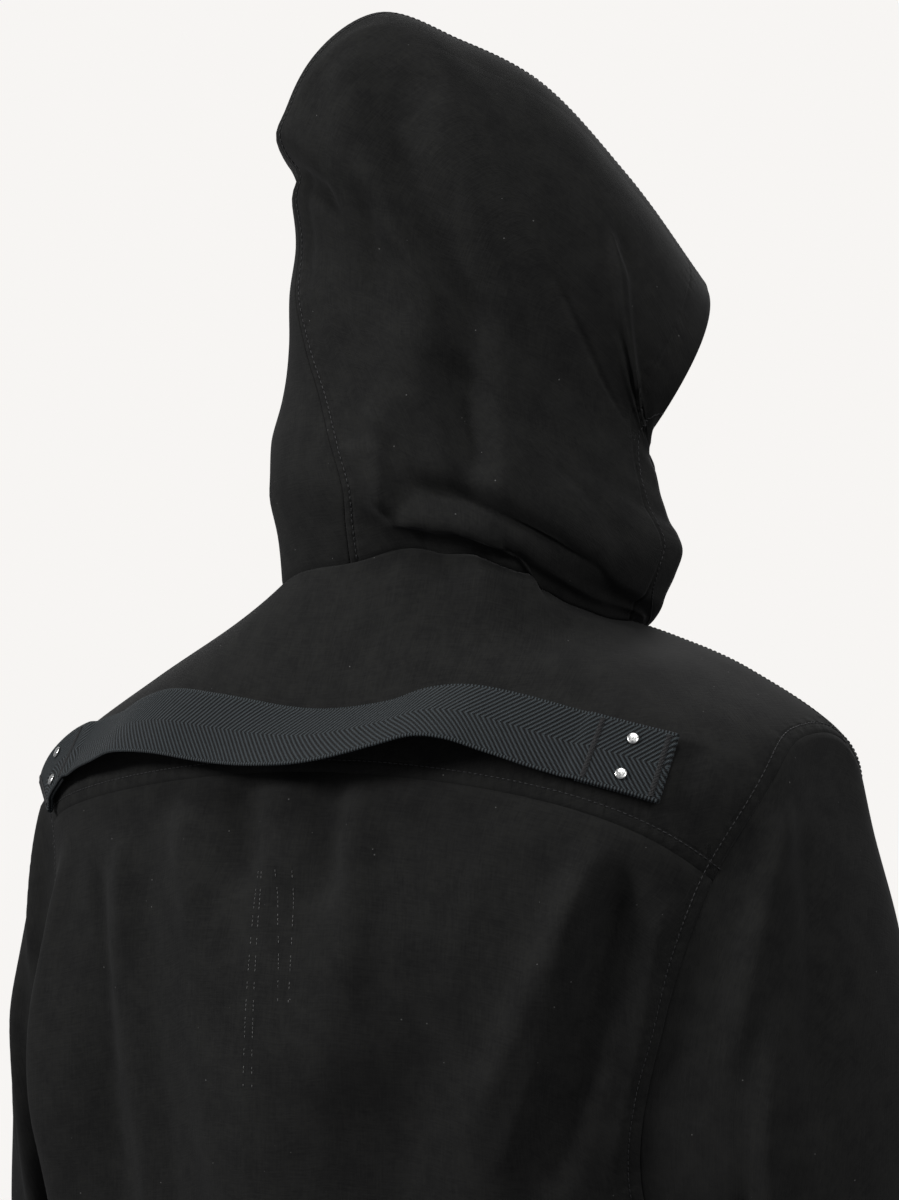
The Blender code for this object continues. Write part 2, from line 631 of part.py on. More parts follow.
def strap_frame():
    """Middle line of the strap's underside with its directions across and off the cloth, and distances."""
    angle, down, lift, tip, length = strap_lines(STRAP_SAMPLES)
    facing = normals(torso_base, angle, down, TORSO_OUTWARD)
    line = torso_base(angle, down) + facing * lift[:, None]
    run = np.gradient(line, axis=0)
    run /= np.linalg.norm(run, axis=-1, keepdims=True)
    lower = np.cross(run, facing) * np.sign(np.cross(run, facing)[:, 2:]) * -1
    lower /= np.linalg.norm(lower, axis=-1, keepdims=True)
    out = np.cross(run, lower)
    out *= np.sign(np.sum(out * facing, axis=-1, keepdims=True))
    turn = np.radians(tip)[:, None]
    lower, out = lower * np.cos(turn) + out * np.sin(turn), out * np.cos(turn) - lower * np.sin(turn)
    return line, lower, out, np.linspace(0, length, STRAP_SAMPLES)


def make_strap(finish):
    line, lower, out, distance = strap_frame()
    across = np.linspace(-0.5, 0.5, STRAP_COLUMN_COUNT + 1)[None, :, None] * STRAP_WIDTH
    from_end = np.minimum(distance, distance[-1] - distance)
    thickness = np.where(from_end < STRAP_FOLD, 2 * STRAP_THICK, STRAP_THICK)[:, None, None]
    facing = np.repeat(out[:, None], STRAP_COLUMN_COUNT + 1, axis=1)
    points = line[:, None] + lower[:, None] * across + facing * thickness
    make_object("back_strap", wall_mesh("back_strap", points, facing, thickness), finish)


def make_disc(name, centre, facing, diameter, height, finish):
    """A low round piece standing on a surface: centre is the middle of its underside."""
    bpy.ops.mesh.primitive_cylinder_add(vertices=DISC_SIDES, radius=diameter / 2 * MM, depth=height * MM)
    piece = bpy.context.active_object
    piece.name = piece.data.name = name
    facing = Vector(facing)
    piece.rotation_euler = facing.to_track_quat("Z", "Y").to_euler()
    piece.location = (Vector(centre) + facing * height / 2) * MM
    piece.data.materials.append(finish)
    edge = piece.modifiers.new("rounded_edge", "BEVEL")
    edge.width = height * DISC_EDGE * MM
    edge.segments = 1
    piece.data.shade_smooth()
    for holder in piece.users_collection:
        holder.objects.unlink(piece)
    bpy.data.collections[COLLECTION].objects.link(piece)


def make_studs(finish):
    """Two studs through each doubled end of the strap, side by side across its width."""
    line, lower, out, distance = strap_frame()
    for label, place in (("right", STUD_FROM_END), ("left", distance[-1] - STUD_FROM_END)):
        middle, down, facing = (np.array([np.interp(place, distance, values[:, axis]) for axis in range(3)])
                                for values in (line, lower, out))
        facing /= np.linalg.norm(facing)
        for level, share in (("upper", -0.5), ("lower", 0.5)):
            centre = middle + down * share * STUD_SPACING + facing * (2 * STRAP_THICK + 2 * SEAM_GAP)
            make_disc(f"stud_{label}_{level}", centre, facing, STUD_DIAMETER, STUD_HEIGHT, finish)


def band_angle(across, down):
    """Angle of the torso at a distance across from the centre front."""
    half_width = column(TORSO, "down", "half_width", down)
    square = column(TORSO, "down", "square", down)
    return 180 + np.degrees(np.sign(across) * np.arcsin((np.abs(across) / half_width) ** (square / 2)))


def make_button_band(finish):
    chest = ARMHOLE_BOTTOM + CHEST_SAG
    upper, lower = np.linspace(0, chest, LEG_ROWS + 1), np.linspace(chest, HEM_DOWN, LOWER_ROWS + 1)
    across = np.linspace(-0.5, 0.5, BAND_COLUMNS + 1) * BAND_WIDTH
    down, across = np.meshgrid(np.concatenate([upper, lower[1:]]), across, indexing="ij")
    angle = band_angle(across, down)
    facing = normals(torso, angle, down, TORSO_OUTWARD)
    points = torso(angle, down) + facing * (SEAM_GAP + BAND_CLOTH)
    make_object("button_band", wall_mesh("button_band", points, facing, BAND_CLOTH), finish)


def make_buttons(finish):
    for number, down in enumerate(np.linspace(BUTTON_FIRST, BUTTON_LAST, BUTTON_COUNT), 1):
        facing = normals(torso, np.array(180.0), np.array(down), TORSO_OUTWARD)
        centre = torso(np.array(180.0), np.array(down)) + facing * (2 * SEAM_GAP + BAND_CLOTH)
        make_disc(f"button_{number}", centre, facing, BUTTON_DIAMETER, BUTTON_HEIGHT, finish)
    middle = np.array((SLEEVE_SEAM + CUFF_END) / 2)
    for label, _, surface, outward in sleeve_sides():
        facing = normals(surface, np.array(CUFF_BUTTON_TURN), middle, outward)
        centre = surface(np.array(CUFF_BUTTON_TURN), middle) + facing * SEAM_GAP
        make_disc(f"cuff_button_{label}", centre, facing, CUFF_BUTTON_DIAMETER, BUTTON_HEIGHT, finish)


def main():
    for old in list(bpy.data.objects):
        bpy.data.objects.remove(old, do_unlink=True)
    bpy.context.scene.collection.children.link(bpy.data.collections.new(COLLECTION))
    cloth = material("black_cloth", BLACK_CLOTH, 0.85)
    webbing = material("black_webbing", BLACK_WEBBING, 0.7)
    silver = material("silver_metal", SILVER, 0.3, 1.0)
    horn = material("black_horn", BLACK_HORN, 0.35)
    make_torso(cloth)
    make_button_band(cloth)
    make_sleeves(cloth)
    make_hood(cloth)
    make_strap(webbing)
    make_studs(silver)
    make_buttons(horn)


main()
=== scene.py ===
"""Hooded overshirt in matt black cotton cloth with a slack herringbone strap, in the form it has when worn.

+Z is up, the front faces -Y and the wearer's right side is -X. Lengths are millimetres and angles are
degrees, until make_piece scales a mesh to metres. Every cloth surface is a function of two parameters, the
angle round the body part and the distance along it, worked out as whole arrays.
"""

import math
import bpy
import numpy as np
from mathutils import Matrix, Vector


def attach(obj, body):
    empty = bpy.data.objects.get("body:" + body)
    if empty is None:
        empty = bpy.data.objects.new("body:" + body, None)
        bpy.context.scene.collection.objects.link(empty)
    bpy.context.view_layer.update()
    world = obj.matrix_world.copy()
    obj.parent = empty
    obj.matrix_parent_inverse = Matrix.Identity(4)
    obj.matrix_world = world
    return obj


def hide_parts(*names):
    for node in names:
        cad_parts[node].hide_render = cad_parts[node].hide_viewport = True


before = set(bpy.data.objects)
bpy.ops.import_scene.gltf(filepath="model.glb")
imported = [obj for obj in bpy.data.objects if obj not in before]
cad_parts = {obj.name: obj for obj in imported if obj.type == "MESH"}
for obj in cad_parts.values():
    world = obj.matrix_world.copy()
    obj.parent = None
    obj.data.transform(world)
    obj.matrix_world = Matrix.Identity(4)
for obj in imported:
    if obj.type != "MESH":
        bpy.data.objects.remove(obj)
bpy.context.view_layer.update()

MM = 0.001

# ---------------------------------------------------------------- sizes of the garment

CLOTH = 2.0                 # wall of the doubled cloth
SEAM_GAP = 0.3
NECK_END = 142              # the hood's front edges meet the neck seam at this angle
NECK_YOKE = 106             # the front yoke seam meets the neck seam here
ARMHOLE_TOP = 116
ARMHOLE_BOTTOM = 362
ARMHOLE_BACK = 32
ARMHOLE_FRONT = 33
ARMHOLE_SKEW = 0.28
ARMHOLE_SQUARE = 2.4
YOKE_BACK_TURN = 65.5
YOKE_FRONT_TURN = -26
YOKE_DOWN = 118
YOKE_CURVE = 1.8
CORNER_NECK = 56
NECK_RISE_LENGTH = 48       # the neck seam's rises fade out over this distance down
CHEST_SAG = 60
HEM_DOWN = 745
BAND_WIDTH = 36
BAND_CLOTH = 1.6
SLEEVE_SEAM = 590
SLEEVE_EASE = 130
CUFF_END = 650
CUFF_CLOTH = 2.6
HOOD_LENGTH = 572
RIDGE_ANGLE = 26
RIDGE_FORWARD = 20
RIDGE_UP = 130
STRAP_WIDTH = 40
STRAP_THICK = 1.8
STRAP_FOLD = 46
STRAP_PLAY = 0.05           # half the space between its folded layers
STRAP_DROP = 7              # past a fold's end the upper layer comes down over this length
STUD_SPACING = 21
STUD_FROM_END = 23
BUTTON_DIAMETER = 15
CUFF_BUTTON_DIAMETER = 12
BUTTON_COUNT = 7
BUTTON_FIRST = 26
BUTTON_LAST = 660
CUFF_BUTTON_TURN = 60.0
BUTTON_SIDES = 56
# Radii and heights of a button of 15 mm, from the middle of its back round the rim to the dish
BUTTON_PROFILE = ((0, 0), (6.2, 0), (7.0, 0.4), (7.5, 1.1), (7.45, 1.9), (7.1, 2.6), (6.6, 2.9), (6.0, 2.8),
                  (5.4, 2.3))
DISH_RADIUS = 4.8
DISH_EDGE = 2.0             # height of the dish at its edge
DISH_DEPTH = 0.25
HOLE_FROM_MIDDLE = 1.75
HOLE_RADIUS = 0.75
HOLE_DEPTH = 1.1
STUD_PROFILE = ((0, -0.7), (2.4, -0.7), (2.5, 0.1), (3.0, 0.15), (3.25, 0.45), (3.2, 0.8), (2.9, 1.08),
                (2.4, 1.24), (1.6, 1.34), (0.8, 1.39), (0, 1.4))
STUD_SIDES = 40
FOLD_RISE = 5
FOLD_FADE = 3

# Sewing
TOPSTITCH = 7.0             # from the yoke and armhole seams to their row of stitches
HOOD_TOPSTITCH = 5.0        # beside the hood's centre seam
HOOD_HEM = 20.0             # folded front edge of the hood
HEM_SEARCH = 50             # the hem lies within this angle of the front edge
NECK_TUCK = 3.2             # the hood's sewn edge reaches so far below the yoke's
BODY_HEM = 22.0
EDGE_STITCH = 5.0           # on the band and cuffs
STITCH_PITCH = 3.3
STITCH_LENGTH = 2.7
ROW_MARGIN = 2.0            # rows of stitches end this far from an edge
THREAD = 0.62               # diameter
PUCKER_PITCH = 0.0085       # metres, as the maps that it is used with

# Samples: each count of the coarse walls is taken so many times
DETAIL = 7
YOKE_COLUMNS = 13 * DETAIL
SHOULDER_COLUMNS = 6 * DETAIL
FRONT_ROWS = 7 * DETAIL
LEG_ROWS = 10 * DETAIL
LOWER_ROWS = 9 * DETAIL
NECK_COLUMNS = 3 * DETAIL
EDGE_COLUMNS = 4 * DETAIL
SLEEVE_ROWS = 20 * DETAIL
HOOD_ROWS = 22 * DETAIL
CUFF_ROWS = 16
BAND_COLUMNS = 12

TORSO_COLUMNS = ("down", "half_width", "side_y", "side_z", "back_y", "back_z", "front_y", "front_z",
                 "square", "roll")
TORSO_SECTIONS = (
    (0, 99, 0, -8, 110, 26, 105, -36, 2.0, 0),
    (30, 128, 4, -17, 122, 0, 108, -66, 2.1, 4),
    (75, 184, 11, -40, 140, -41, 108, -110, 2.2, 12),
    (120, 246, 21, -79, 153, -84, 110, -150, 2.35, 19),
    (185, 245, 19, -140, 166, -148, 118, -205, 2.45, 8),
    (255, 230, 12, -225, 173, -217, 125, -262, 2.4, 0),
    (362, 203, 1, -358, 174, -325, 130, -358, 2.3, 0),
    (420, 192, 0, -410, 174, -382, 129, -402, 2.3, 0),
    (520, 193, 0, -500, 171, -482, 128, -492, 2.3, 0),
    (640, 199, 0, -610, 168, -602, 127, -607, 2.3, 0),
    (745, 205, 0, -700, 166, -706, 126, -700, 2.3, 0),
)
# The neck seam is pulled up at these angles, over half a width and by a height
NECK_RISES = (
    (-41, 19, 13),
    (-21, 16, 12),
    (-72, 15, 8),
)
SLEEVE_COLUMNS = ("along", "outer_x", "outer_z", "inner_x", "inner_z", "mid_y", "half_depth")
SLEEVE_SECTIONS = (
    (0, 246, -79, 203, -358, 22, 92),
    (35, 255, -110, 206, -362, 20, 88),
    (75, 270, -150, 210, -368, 17, 84),
    (140, 285, -215, 215, -382, 12, 79),
    (228, 302, -300, 221, -412, 4, 74),
    (330, 315, -400, 229, -462, -6, 69),
    (412, 318, -480, 236, -525, -26, 63),
    (495, 317, -560, 242, -590, -58, 56),
    (590, 309, -648, 246, -664, -96, 50),
    (650, 303, -705, 250, -718, -120, 48),
)
HOOD_COLUMNS = ("along", "seam_q", "seam_z", "edge_q", "edge_z", "half_width", "yaw", "edge_yaw",
                "ridge", "far_lead")
HOOD_SECTIONS = (
    (0, -110, 26, 83, -28, 99, 0, 0, 0, 0),
    (22, -114, 48, 86, -12, 107, 0, 22, 0, 30),
    (44, -117, 70, 92, 2, 120, 0, 36, 0, 46),
    (68, -112, 94, 104, 17, 121, 6, 44, 1, 32),
    (94, -104, 118, 111, 30, 115, 15, 46, 1, 20),
    (122, -100, 146, 111, 40, 106, 26, 48, 2, 14),
    (148, -99, 172, 108, 47, 99, 34, 49, 2, 10),
    (176, -95, 200, 106, 56, 94, 37, 50, 2, 12),
    (212, -99, 236, 104, 63, 90, 40, 50, 3, 12),
    (238, -102, 260, 103, 69, 87, 40, 50, 4, 12),
    (274, -88, 295, 102, 74, 84, 40, 50, 5, 11),
    (324, -48, 324, 100, 79, 80, 40, 50, 5, 10),
    (372, -3, 309, 99, 83, 78, 40, 50, 5, 8),
    (422, 39, 289, 99, 87, 76, 40, 50, 4, 6),
    (492, 90, 237, 100, 91, 74, 40, 50, 4, 3),
    (HOOD_LENGTH, 136, 178, 100, 95, 66, 40, 50, 3, 0),
)
# Strap from its right end to its left one, as in the frame: its lift off the cloth and the tip of its edge
STRAP_COLUMNS = ("angle", "down", "lift", "tip")
STRAP_ROUTE = (
    (-53, 125, 0.7, 0),
    (-47, 118, 0.8, 0),
    (-41, 111, 2, 0),
    (-35.5, 105, 6, 2),
    (-29.5, 98, 11, 10),
    (-24, 93, 16, 22),
    (-18.5, 92, 17, 32),
    (-12, 96, 15, 38),
    (-3, 101, 14, 34),
    (2.5, 101, 13, 26),
    (12, 98, 13, 8),
    (22, 97, 15, 6),
    (31, 101, 13, 14),
    (38, 107, 7, 14),
    (44.5, 112, 3.5, 8),
    (50.5, 120, 1.4, 0),
    (54.5, 133, 0.9, 0),
    (57, 150, 0.8, 0),
)

# Folds: a soft ridge (height above 0) or trough from the first place to the second, bent sideways.
# Columns: angle and distance of the first place, angle and distance of the second, bend, width, height
TORSO_FOLDS = (
    (-60, -8, -30, 8, -6, 22, 9),
    (-40, 150, -31, 340, -10, 15, 7),
    (-46, 165, -38, 350, -6, 13, -9),
    (-5, 120, -6, 330, 0, 13, 4),
    (2, 118, 1, 420, 0, 10, 4),
    (14, 122, 4, 420, 0, 17, 6),
    (-2, 150, -5, 900, 0, 42, 11),
    (49, 180, 62, 900, 0, 34, 38),
    (28, 130, 27, 500, 0, 13, 4),
    (21, 140, 19, 460, 0, 9, -4),
    (-10, 250, -13, 560, 5, 22, -6),
    (44, 160, 60, 470, 8, 12, 6),
    (-128, 200, -140, 460, 8, 16, 5),
    (130, 190, 142, 480, -8, 16, 5),
    (-150, 260, -146, 620, 6, 15, -4),
    (152, 240, 148, 600, -6, 15, -4),
)
HOOD_FOLDS = (
    (-18, 320, -80, 205, 8, 15, -5),
    (-45, 250, -40, 150, 0, 10, -4),
    (-72, 445, -134, 425, 0, 12, 7),
    (-10, 74, -16, 24, -4, 9, 6),
    (-14, 26, -62, 34, 2, 9, 7),
    (-18, 50, -104, 44, 2, 8, -8),
    (-76, 175, -48, 56, 0, 11, -5),
    (30, 60, 96, 44, 4, 10, -6),
    (24, 150, 84, 110, 8, 14, -5),
)
SLEEVE_FOLDS = (
    (30, 12, 88, 80, -6, 12, 6),
    (22, 30, 52, 190, 4, 12, -5),
    (60, 70, 110, 330, 8, 14, 6),
    (92, 90, 120, 340, 6, 13, -5),
    (50, 330, 120, 390, 6, 12, -6),
    (-60, 60, -110, 300, 8, 14, 5),
    (60, 450, 130, 520, 6, 11, -4),
)
# Smaller creases that the coarse walls leave out
TORSO_CREASES = (
    (15, 122, 4, 270, 0, 10, 6.5),
    (7, 112, 4, 190, 0, 8, -6.0),
    (1.5, 118, 0, 190, 0, 7, 4.5),
    (-2.5, 114, -4, 195, 0, 7, -5.5),
    (-6, 118, -9, 250, 0, 8, 6.0),
    (-17, 190, -20, 760, 0, 24, -12.0),
    (5, 240, 4, 760, 0, 30, 3.5),
    (31, 160, 40, 390, 0, 12, -4.2),
    (21, 140, 19, 460, 0, 9, 2.6),
    (26, 158, 25, 235, 0, 6, 3.0),
    (-42, 150, -27, 320, 4, 11, 7.0),
    (-47, 160, -35, 340, 0, 10, -6.0),
    (-54, 185, -53, 270, 0, 8, 4.0),
    (53, 230, 64, 700, 0, 12, -3.0),
    (-58, 210, -52, 330, 5, 6, 1.6),
    (-50, 255, -40, 300, 4, 5, -1.4),
    (-24, 150, -22, 260, 3, 7, 1.3),
    (36, 170, 38, 320, -4, 7, 1.5),
    (8, 170, 6, 300, 2, 5, -1.0),
    (60, 250, 66, 340, 4, 6, 1.6),
    (-66, 240, -74, 352, 6, 6, 1.8),
    (72, 300, 60, 380, 4, 7, -1.6),
    (-88, 372, -60, 400, 8, 8, 2.2),
    (-84, 392, -50, 430, 8, 8, -2.0),
    (88, 372, 60, 404, -8, 8, 2.2),
    (86, 396, 52, 440, -8, 8, -2.0),
    (-104, 352, -132, 420, -8, 8, 2.2),
    (106, 350, 134, 424, 8, 8, 2.2),
    (-118, 320, -138, 350, -6, 6, -1.6),
    (118, 318, 140, 352, 6, 6, -1.6),
    (-30, 470, 10, 500, 8, 9, -2.0),
    (-60, 540, -24, 560, 6, 9, 1.8),
    (24, 560, 62, 590, 6, 9, -1.8),
    (-138, 520, -112, 560, 5, 9, 1.6),
    (120, 540, 148, 566, 5, 9, -1.6),
)
HOOD_CREASES = (
    (-92, 130, -118, 60, 4, 9, -1.6),
    (-24, 215, -40, 165, 4, 7, -2.0),
    (-60, 300, -96, 250, 6, 9, 1.6),
    (-88, 330, -128, 300, 5, 8, -1.6),
    (-8, 250, -16, 330, 2, 6, 1.4),
    (-9, 150, -15, 230, 2, 5, -1.2),
    (-100, 400, -136, 370, 4, 8, 1.8),
    (40, 230, 92, 170, 6, 10, 1.8),
    (24, 330, 88, 270, 8, 11, -2.0),
    (60, 420, 128, 380, 6, 10, 1.8),
    (36, 96, 84, 74, 5, 6, 1.8),
    (90, 90, 128, 60, 4, 7, -1.8),
)
SLEEVE_CREASES = (
    (120, 40, 150, 120, 4, 6, 2.0),
    (134, 90, 120, 200, 4, 7, -1.8),
    (40, 130, 84, 250, 5, 8, 1.6),
    (70, 330, 128, 352, 4, 6, 2.0),
    (60, 352, 120, 372, 4, 6, -2.2),
    (-120, 330, -60, 356, 4, 7, 2.0),
    (-110, 356, -50, 384, 4, 6, -1.8),
    (150, 380, -160, 400, 0, 8, -2.0),
    (40, 480, 112, 520, 5, 7, 1.6),
    (-100, 500, -40, 534, 5, 7, -1.6),
    (20, 560, 100, 574, 2, 5, 1.2),
    (-90, 562, -10, 578, 2, 5, 1.2),
)
# Rolls and hollows along bent lines: each line's places, then its width and height
TORSO_ROLLS = ((((-60, -6), (-61, -6)), 24, 6.0),)
HOOD_ROLLS = (
    (((-40, 310), (-52, 276), (-66, 266), (-77, 238), (-72, 160), (-57, 100), (-47, 62)), 12, -5.0),
    (((-22, 285), (-35, 250), (-50, 241), (-62, 210), (-57, 160), (-38, 110), (-22, 84)), 13, 4.5),
    (((-84, 205), (-82, 168), (-72, 104), (-60, 68)), 10, 2.0),
    (((-20, 84), (-15, 58), (-13, 40), (-17, 22), (-29, 21), (-41, 26), (-52, 23)), 5, 3.0),
    (((-22, 46), (-40, 49), (-60, 52), (-82, 48), (-101, 46)), 10, -3.2),
    (((-52, 30), (-62, 32), (-76, 25), (-92, 18), (-118, 14)), 7, 2.6),
    (((-27, 8), (-38, 7), (-50, 10)), 5, -2.0),
    (((-73, 436), (-95, 425), (-118, 420), (-131, 402)), 4, 2.4),
    (((-70, 455), (-94, 443), (-117, 437), (-130, 420)), 9, -3.5),
    (((-24, 213), (18, 212)), 8, -5.5),
    (((-20, 238), (16, 236)), 9, 3.0),
)
TORSO_MM_PER_DEGREE = 3.4
HOOD_MM_PER_DEGREE = 1.7
SLEEVE_MM_PER_DEGREE = 1.35


# ---------------------------------------------------------------- surfaces

def read_table(columns, rows):
    """One array for each named column."""
    return {name: np.array([row[place] for row in rows], float) for place, name in enumerate(columns)}


TORSO = read_table(TORSO_COLUMNS, TORSO_SECTIONS)
SLEEVE = read_table(SLEEVE_COLUMNS, SLEEVE_SECTIONS)
HOOD = read_table(HOOD_COLUMNS, HOOD_SECTIONS)
STRAP = read_table(STRAP_COLUMNS, STRAP_ROUTE)


def smooth(fraction):
    """0 to 1 with a soft start and end: three squares less two cubes."""
    fraction = np.clip(fraction, 0, 1)
    return fraction * fraction * (3 - 2 * fraction)


def curve_through(knots, values, places):
    """Cubic curve through the rows: each row's slope is that of the line between its neighbours."""
    slopes = np.gradient(values, knots)
    row = np.clip(np.searchsorted(knots, places, side="right") - 1, 0, len(knots) - 2)
    step = knots[row + 1] - knots[row]
    part = (places - knots[row]) / step
    rise = values[row + 1] - values[row]
    start, end = slopes[row] * step, slopes[row + 1] * step
    square, cube = 3 * rise - 2 * start - end, start + end - 2 * rise
    return values[row] + part * (start + part * (square + part * cube))


def column(table, key, name, places):
    return curve_through(table[key], table[name], places)


def unit(vectors):
    """Each vector of an array at a length of 1."""
    return vectors / np.linalg.norm(vectors, axis=-1, keepdims=True)


def run_lengths(line):
    """Distance along a line of points at each of them."""
    return np.concatenate([[0], np.cumsum(np.linalg.norm(np.diff(line, axis=0), axis=1))])


def points_at(places, lengths, line):
    """Points, or directions, of a line at places along it."""
    return np.stack([np.interp(places, lengths, line[:, axis]) for axis in range(3)], axis=-1)


def fold_height(folds, angle, down, mm_per_degree):
    """Sum of folds: each is its height times a bell of the distance from its bent line, faded at its ends."""
    total = np.zeros(np.broadcast(angle, down).shape)
    for angle_1, down_1, angle_2, down_2, bend, width, height in folds:
        run_x, run_y = (angle_2 - angle_1) * mm_per_degree, down_2 - down_1
        length = math.hypot(run_x, run_y)
        run_x, run_y = run_x / length, run_y / length
        to_x, to_y = (angle - angle_1) * mm_per_degree, down - down_1
        along = (to_x * run_x + to_y * run_y) / length
        inside = np.clip(along, 0, 1)
        aside = to_x * run_y - to_y * run_x - 4 * bend * inside * (1 - inside)
        past = (along - inside) * length
        crest = height * smooth(inside * FOLD_RISE) * smooth((1 - inside) * FOLD_FADE)
        total += crest * np.exp(-(aside**2 + past**2) / width**2)
    return total


def roll_height(rolls, angle, down, mm_per_degree):
    """Sum of rolls: each is its height times a bell of the distance from its bent line's nearest part."""
    total = np.zeros(np.broadcast(angle, down).shape)
    for places, width, height in rolls:
        nearest = np.full(total.shape, np.inf)
        for (angle_1, down_1), (angle_2, down_2) in zip(places, places[1:]):
            run_x, run_y = (angle_2 - angle_1) * mm_per_degree, down_2 - down_1
            to_x, to_y = (angle - angle_1) * mm_per_degree, down - down_1
            share = np.clip((to_x * run_x + to_y * run_y) / (run_x**2 + run_y**2), 0, 1)
            nearest = np.minimum(nearest, (to_x - share * run_x) ** 2 + (to_y - share * run_y) ** 2)
        total += height * np.exp(-nearest / width**2)
    return total


def torso_base(angle, down):
    """Rounded ring round the body: width goes with the sine and depth with the cosine of the angle."""
    angle, down = np.broadcast_arrays(np.asarray(angle, float), np.asarray(down, float))
    sine, cosine = np.sin(np.radians(angle)), np.cos(np.radians(angle))
    take = {name: column(TORSO, "down", name, down) for name in TORSO_COLUMNS[1:]}
    power = 2 / take["square"]
    behind = cosine >= 0
    depth = np.where(behind, take["back_y"] - take["side_y"], take["front_y"] + take["side_y"])
    end_z = np.where(behind, take["back_z"], take["front_z"])
    across = np.sign(sine) * np.abs(sine) ** power
    x = take["half_width"] * across
    y = take["side_y"] + np.sign(cosine) * depth * np.abs(cosine) ** power
    z = take["side_z"] * sine**2 + end_z * cosine**2 - take["roll"] * across
    rise = sum(height * np.exp(-((angle - middle) / spread) ** 2) for middle, spread, height in NECK_RISES)
    z = z + rise * (1 - smooth(down / NECK_RISE_LENGTH))
    return np.stack([x, y, z], axis=-1)


def sleeve_base(angle, along):
    """Ellipse between the sleeve's outer and underarm lines: angle 0 is the outer line, 90 the back."""
    angle, along = np.broadcast_arrays(np.asarray(angle, float), np.asarray(along, float))
    turn = np.radians(angle)
    take = {name: column(SLEEVE, "along", name, along) for name in SLEEVE_COLUMNS[1:]}
    x = (take["outer_x"] + take["inner_x"]) / 2 + (take["outer_x"] - take["inner_x"]) / 2 * np.cos(turn)
    y = take["mid_y"] + take["half_depth"] * np.sin(turn)
    z = (take["outer_z"] + take["inner_z"]) / 2 + (take["outer_z"] - take["inner_z"]) / 2 * np.cos(turn)
    ellipse = np.stack([x, y, z], axis=-1)
    if np.all(along == 0):
        return ellipse
    return ellipse + sleeve_start(angle) * (1 - smooth(along / SLEEVE_EASE))[..., None]


def armhole(turn, side=1):
    """Angle and distance down the torso of the armhole at a turn: 0 the shoulder tip, 90 the back."""
    radians = np.radians(turn)
    power = 2 / ARMHOLE_SQUARE
    sine, cosine = np.sin(radians), np.cos(radians)
    reach = np.where(sine >= 0, ARMHOLE_BACK, ARMHOLE_FRONT) * (1 - ARMHOLE_SKEW * cosine)
    angle = 90 - reach * np.sign(sine) * np.abs(sine) ** power
    middle, half = (ARMHOLE_TOP + ARMHOLE_BOTTOM) / 2, (ARMHOLE_BOTTOM - ARMHOLE_TOP) / 2
    return side * angle, middle - half * np.sign(cosine) * np.abs(cosine) ** power


def sleeve_start(angle):
    """How far the armhole's outline lies from the sleeve's first ellipse, on the left side."""
    return torso(*armhole(angle)) - sleeve_base(angle, np.zeros(np.shape(angle)))


def hood_base(angle, along):
    """Rows of part ellipses from the centre seam to the front edge, turned to the wearer's right."""
    angle, along = np.broadcast_arrays(np.asarray(angle, float), np.asarray(along, float))
    turn = np.radians(angle)
    take = {name: column(HOOD, "along", name, along) for name in HOOD_COLUMNS[1:]}
    share = (1 - np.cos(turn)) / (1 - math.cos(math.radians(NECK_END)))
    lead = np.where(angle > 0, take["far_lead"], 0) * smooth(np.abs(angle) / NECK_END)
    forward = take["seam_q"] + (take["edge_q"] - take["seam_q"]) * share + lead
    z = take["seam_z"] + (take["edge_z"] - take["seam_z"]) * share
    stand = take["ridge"] * np.clip(1 - np.abs(angle) / RIDGE_ANGLE, 0, 1)
    reach = np.hypot(take["seam_q"] - RIDGE_FORWARD, take["seam_z"] - RIDGE_UP)
    forward = forward + stand * (take["seam_q"] - RIDGE_FORWARD) / reach
    z = z + stand * (take["seam_z"] - RIDGE_UP) / reach
    aside = take["half_width"] * np.sin(turn)
    yaw = np.radians(take["yaw"] + (take["edge_yaw"] - take["yaw"]) * smooth(np.abs(angle) / NECK_END))
    x = aside * np.cos(yaw) - forward * np.sin(yaw)
    y = -aside * np.sin(yaw) - forward * np.cos(yaw)
    free = np.stack([x, y, z], axis=-1)
    sewn = torso(angle, 0 * angle)
    weight = 1 - smooth(along / HOOD["along"][2])
    start = {name: HOOD[name][0] for name in HOOD_COLUMNS[1:]}
    first_forward = start["seam_q"] + (start["edge_q"] - start["seam_q"]) * share
    first_z = start["seam_z"] + (start["edge_z"] - start["seam_z"]) * share
    first = np.stack([start["half_width"] * np.sin(turn), -first_forward, first_z], axis=-1)
    return free + (sewn - first) * weight[..., None]


def normals(surface, angle, down, outward, turn_step=0.5, mm_step=1.0):
    """Outward normals: the cross product of small steps round and along the surface."""
    around = surface(angle + turn_step, down) - surface(angle - turn_step, down)
    onward = surface(angle, down + mm_step) - surface(angle, down - mm_step)
    return unit(outward * np.cross(around, onward))


def folded(base, outward, folds, mm_per_degree, rolls=()):
    """The surface moved along its outward normals by its folds and rolls."""
    def surface(angle, down):
        height = fold_height(folds, angle, down, mm_per_degree)
        height = height + roll_height(rolls, angle, down, mm_per_degree)
        return base(angle, down) + normals(base, angle, down, outward) * height[..., None]
    return surface


